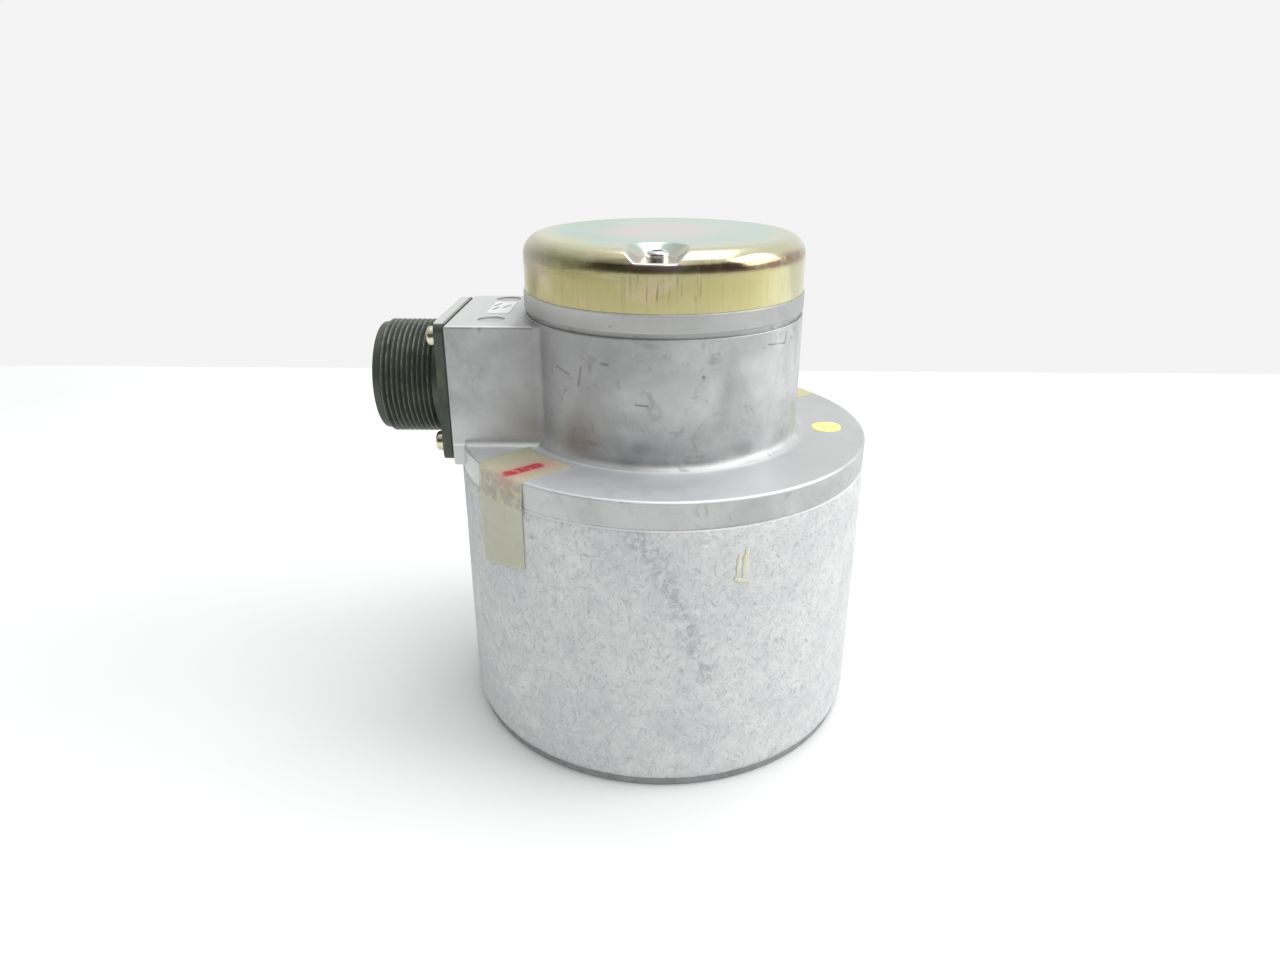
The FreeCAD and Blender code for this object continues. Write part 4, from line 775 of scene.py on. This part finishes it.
def tape(name, node, azimuth, foot_near, foot_far):
    """One strip of film over the flange edge: wrinkled, bridging the chamfer, with cut ends."""
    along = Vector((math.cos(azimuth), math.sin(azimuth), 0))
    across = Vector((-math.sin(azimuth), math.cos(azimuth), 0))
    columns = 40
    top_rows, edge_rows, side_rows = 34, 6, 58
    thickness = 0.06
    rim_r = FLANGE_R + 0.06
    cut_r = FLANGE_R - RIM_CHAMFER
    hang_r = TUBE_R + 0.2
    top_z = FLANGE_TOP + 0.015
    under, over = [], []
    for i in range(top_rows + edge_rows + side_rows + 1):
        for j in range(columns + 1):
            w = TAPE_HALF_WIDTH * (2 * j / columns - 1)
            foot = foot_near + (foot_far - foot_near) * j / columns
            ragged = 0.25 * noise_at(w * 3.0, azimuth * 10, 0.0, 0.9)
            if i <= top_rows:
                share = i / top_rows
                r = TAPE_INNER_R + ragged * (1 - share) + (cut_r - TAPE_INNER_R) * share
                z = top_z
                out = Vector((0, 0, 1))
            elif i <= top_rows + edge_rows:
                share = (i - top_rows) / edge_rows
                r = cut_r + (rim_r - cut_r) * share
                z = top_z - RIM_CHAMFER * share
                out = Vector((along.x, along.y, 1)).normalized()
            else:
                share = (i - top_rows - edge_rows) / side_rows
                z = top_z - RIM_CHAMFER + (foot + ragged - FLANGE_TOP + RIM_CHAMFER) * share
                drawn_in = max(0.0, min(1.0, (z - FLANGE_LOW) / (FLANGE_TOP - RIM_CHAMFER - FLANGE_LOW)))
                r = hang_r - (hang_r - rim_r) * drawn_in
                out = along
            reach = math.sqrt(max(r * r - w * w, 1.0))
            point = along * reach + across * w
            point.z = z
            lift = 0.018 * (1 + noise_at(point.x, point.y, point.z, 0.45))
            lift += 0.022 * max(0.0, noise_at(point.x + 30, point.y, point.z, 0.16))
            under.append(point + out * lift)
            over.append(point + out * (lift + thickness))
    faces = sheet_faces(top_rows + edge_rows + side_rows + 1, columns + 1)
    return mesh_piece(name, under + over, faces, FINISHES["old_tape"], "housing", "old_tape", node)


def round_sticker():
    """Round sticker with a softened edge that has lifted a little on one side."""
    rings, turns = 9, 64
    centre = (DOT_LOW + DOT_HIGH) / 2
    radius = (DOT_HIGH.x - DOT_LOW.x) / 2 - 0.02
    low, thickness, lift = DOT_LOW.z, 0.09, 0.25
    points = [(centre.x, centre.y, low + thickness)]
    for i in range(1, rings + 1):
        r = radius * i / rings
        for j in range(turns):
            a = 2 * math.pi * j / turns
            raised = lift * max(0.0, math.cos(a - 0.6)) ** 3 * (i / rings) ** 3
            top = low + thickness + raised - (0.03 if i == rings else 0.0)
            points.append((centre.x + r * math.cos(a), centre.y + r * math.sin(a), top))
    for j in range(turns):
        a = 2 * math.pi * j / turns
        raised = lift * max(0.0, math.cos(a - 0.6)) ** 3
        foot = low + 0.005 + raised
        points.append((centre.x + radius * math.cos(a), centre.y + radius * math.sin(a), foot))
    faces = [(0, 1 + j, 1 + (j + 1) % turns) for j in range(turns)]
    faces += [tuple(reversed(f)) for f in grid_faces(rings + 1, turns, closed_columns=True, first=1)]
    faces.append(tuple(1 + rings * turns + j for j in reversed(range(turns))))
    finish = FINISHES["yellow_sticker"]
    return mesh_piece("round_sticker", points, faces, finish, "housing", "yellow_sticker", "inspection_dot")


def curled_label():
    """Small paper label with rounded corners, one of them curling up."""
    low, high = LABEL_LOW, LABEL_HIGH
    columns, rows = 16, 36
    top, bottom = [], []
    for i in range(rows + 1):
        for j in range(columns + 1):
            u, v = j / columns, i / rows
            x = low.x + (high.x - low.x) * u
            y = low.y + (high.y - low.y) * v
            corner = max(0.0, abs(2 * u - 1) + abs(2 * v - 1) - 1.82)
            x -= math.copysign(corner * 1.6, 2 * u - 1)
            y -= math.copysign(corner * 1.6, 2 * v - 1)
            curl = 0.2 * max(0.0, u + v - 1.55) ** 2
            z = low.z + 0.02 + curl + 0.006 * noise_at(x, y, 0.0, 0.6)
            bottom.append((x, y, z))
            top.append((x, y, z + 0.07))
    faces = sheet_faces(rows + 1, columns + 1)
    finish = FINISHES["white_label"]
    return mesh_piece("curled_label", bottom + top, faces, finish, "housing", "white_label", "boss_label")


def splinter(name, start, end, half_width, seed):
    """Torn sliver of cream fibre lying on the tube, thin at its ends."""
    steps, sides = 18, 8
    start, end = Vector(start), Vector(end)
    points = []
    for i in range(steps + 1):
        share = i / steps
        p = start.lerp(end, share)
        radial = Vector((p.x, p.y, 0)).normalized()
        across = radial.cross((end - start).normalized())
        width = half_width * (0.35 + 0.65 * math.sin(math.pi * min(share * 1.15 + 0.05, 1.0)))
        width *= 1 + 0.35 * noise_at(share * 9, seed, 0, 1.0)
        bend = 0.25 * noise_at(share * 5, seed + 3, 0, 1.0)
        centre = radial * (TUBE_R - 0.02) + Vector((0, 0, p.z)) + across * bend
        for j in range(sides):
            a = 2 * math.pi * j / sides
            points.append(centre + across * width * math.cos(a) + radial * 0.16 * math.sin(a))
    faces = grid_faces(steps + 1, sides, closed_columns=True)
    faces.append(tuple(reversed(range(sides))))
    faces.append(tuple(steps * sides + j for j in range(sides)))
    return mesh_piece(name, points, faces, cream_splinter(), "tube", "grey_paperboard")


# ------------------------------------------------------------------------ floor and light


TABLE_SIDE = 4.0
TABLE_BACK = 0.356
TABLE_GAP = 0.0001
WALL_TONE = (0.90, 0.905, 0.90, 1)
DIM_TONE = (0.06, 0.04, 0.04, 1)
BRIGHT_TONE = (1.06, 1.07, 1.07, 1)
PANEL_WATTS = 9.0
LENS = 24.74
EYE = (0.0, -242.9, 91.2)
YAW = math.radians(-1.52)
PITCH = math.radians(22.65)


def stage():
    """Pale table top; its far edge lies just behind the encoder, as the horizon shows it."""
    side, back = TABLE_SIDE, TABLE_BACK
    z = FLOOR_Z * MM - TABLE_GAP
    corners = [(-side, -side, z), (side, -side, z), (side, back, z), (-side, back, z)]
    mesh = bpy.data.meshes.new("floor")
    mesh.from_pydata(corners, [], [(0, 1, 2, 3)])
    g = Graph("floor_paper")
    tone = g.ramp(g.noise(0.01, 3), [(0.3, (0.815, 0.825, 0.825)), (0.7, (0.835, 0.845, 0.845))])
    g.done(tone, 0.7, g.bump(g.noise(0.8, 3), 0.02, 0.3), Specular_IOR_Level=0.2)
    mesh.materials.append(g.material)
    floor = bpy.data.objects.new("floor", mesh)
    bpy.context.scene.collection.objects.link(floor)


def world():
    """Bright room, dimmer to the left and behind the viewer.

    Reflections see the room, diffuse light an even fill, and the camera a plain pale wall.
    """
    scene = bpy.context.scene
    scene.world = bpy.data.worlds.new("studio")
    scene.world.use_nodes = True
    tree = scene.world.node_tree
    background = tree.nodes["Background"]
    coords = tree.nodes.new("ShaderNodeTexCoord")
    split = tree.nodes.new("ShaderNodeSeparateXYZ")
    tree.links.new(coords.outputs["Generated"], split.inputs[0])

    def put(item, socket):
        if hasattr(item, "is_linked"):
            tree.links.new(item, socket)
        else:
            socket.default_value = item

    def value(operation, a, b):
        node = tree.nodes.new("ShaderNodeMath")
        node.operation = operation
        put(a, node.inputs[0])
        put(b, node.inputs[1])
        return node.outputs[0]

    def mix(factor, a, b):
        node = tree.nodes.new("ShaderNodeMix")
        node.data_type = "RGBA"
        for item, place in ((factor, 0), (a, 6), (b, 7)):
            put(item, node.inputs[place])
        return node.outputs[2]

    def ramp(source, stops):
        node = tree.nodes.new("ShaderNodeValToRGB")
        node.color_ramp.interpolation = "EASE"
        while len(node.color_ramp.elements) < len(stops):
            node.color_ramp.elements.new(0.5)
        for element, (position, level) in zip(node.color_ramp.elements, stops):
            element.position = position
            element.color = (level, level, level, 1)
        tree.links.new(source, node.inputs[0])
        return node.outputs[0]

    x, y, z = split.outputs
    sideways = value("ADD", value("MULTIPLY", x, 0.5), 0.5)
    forward = value("ADD", value("MULTIPLY", y, 0.5), 0.5)
    ahead = ramp(forward, [(0.0, 0.0), (0.25, 0.0), (0.42, 1.0), (1.0, 1.0)])
    overhead = ramp(value("MAXIMUM", z, 0.0), [(0.0, 0.30), (0.10, 0.10), (0.55, 0.10), (0.72, 1.0)])
    across = ramp(sideways, [(0.0, 0.34), (0.40, 0.42), (0.55, 1.0), (1.0, 1.0)])
    behind = value("MULTIPLY", overhead, across)
    around = ramp(sideways, [(0.0, 0.48), (0.45, 0.90), (1.0, 0.90)])
    level = value("MAXIMUM", value("MULTIPLY", ahead, around), behind)
    seen = tree.nodes.new("ShaderNodeLightPath")
    room = mix(level, DIM_TONE, BRIGHT_TONE)
    fill = ramp(sideways, [(0.0, 0.60), (0.5, 0.82), (1.0, 0.92)])
    lit = mix(seen.outputs["Is Diffuse Ray"], room, fill)
    shown = mix(seen.outputs["Is Camera Ray"], lit, WALL_TONE)
    tree.links.new(shown, background.inputs["Color"])
    background.inputs["Strength"].default_value = 1.0


def panel(name, place, width, depth):
    """A soft light turned towards the origin."""
    light = bpy.data.lights.new(name, "AREA")
    light.shape = "RECTANGLE"
    light.size = width
    light.size_y = depth
    light.energy = PANEL_WATTS
    lamp = bpy.data.objects.new(name, light)
    bpy.context.scene.collection.objects.link(lamp)
    lamp.location = place
    lamp.rotation_euler = (-Vector(place)).to_track_quat("-Z", "Y").to_euler()


def lights():
    panel("ceiling_panel", (0.25, 0.10, 1.30), 1.2, 0.9)
    panel("right_window", (1.20, -0.05, 0.75), 0.9, 0.9)


def camera():
    """Looks down at the encoder from in front, turned a touch towards -X."""
    data = bpy.data.cameras.new("view_camera")
    data.lens = LENS
    data.sensor_width = 36.0
    data.clip_start = 0.01
    eye = bpy.data.objects.new("view_camera", data)
    bpy.context.scene.collection.objects.link(eye)
    level = math.cos(PITCH)
    look = Vector((math.sin(YAW) * level, math.cos(YAW) * level, -math.sin(PITCH)))
    eye.location = Vector(EYE) * MM
    eye.rotation_euler = look.to_track_quat("-Z", "Y").to_euler()
    bpy.context.scene.camera = eye


# ------------------------------------------------------------------------------- build

camera()
finish_cad_nodes()
paper_tube()
tape("front_tape", "tape_strip_front", math.radians(224.5), -19.6, -15.6)
tape("rear_tape", "tape_strip_rear", math.radians(40.7), -15.6, -14.8)
round_sticker()
curled_label()
for name, (start, end, half_width, seed) in SPLINTERS.items():
    splinter(name, start, end, half_width, seed)
stage()
world()
lights()
bpy.context.scene.view_settings.view_transform = "Standard"
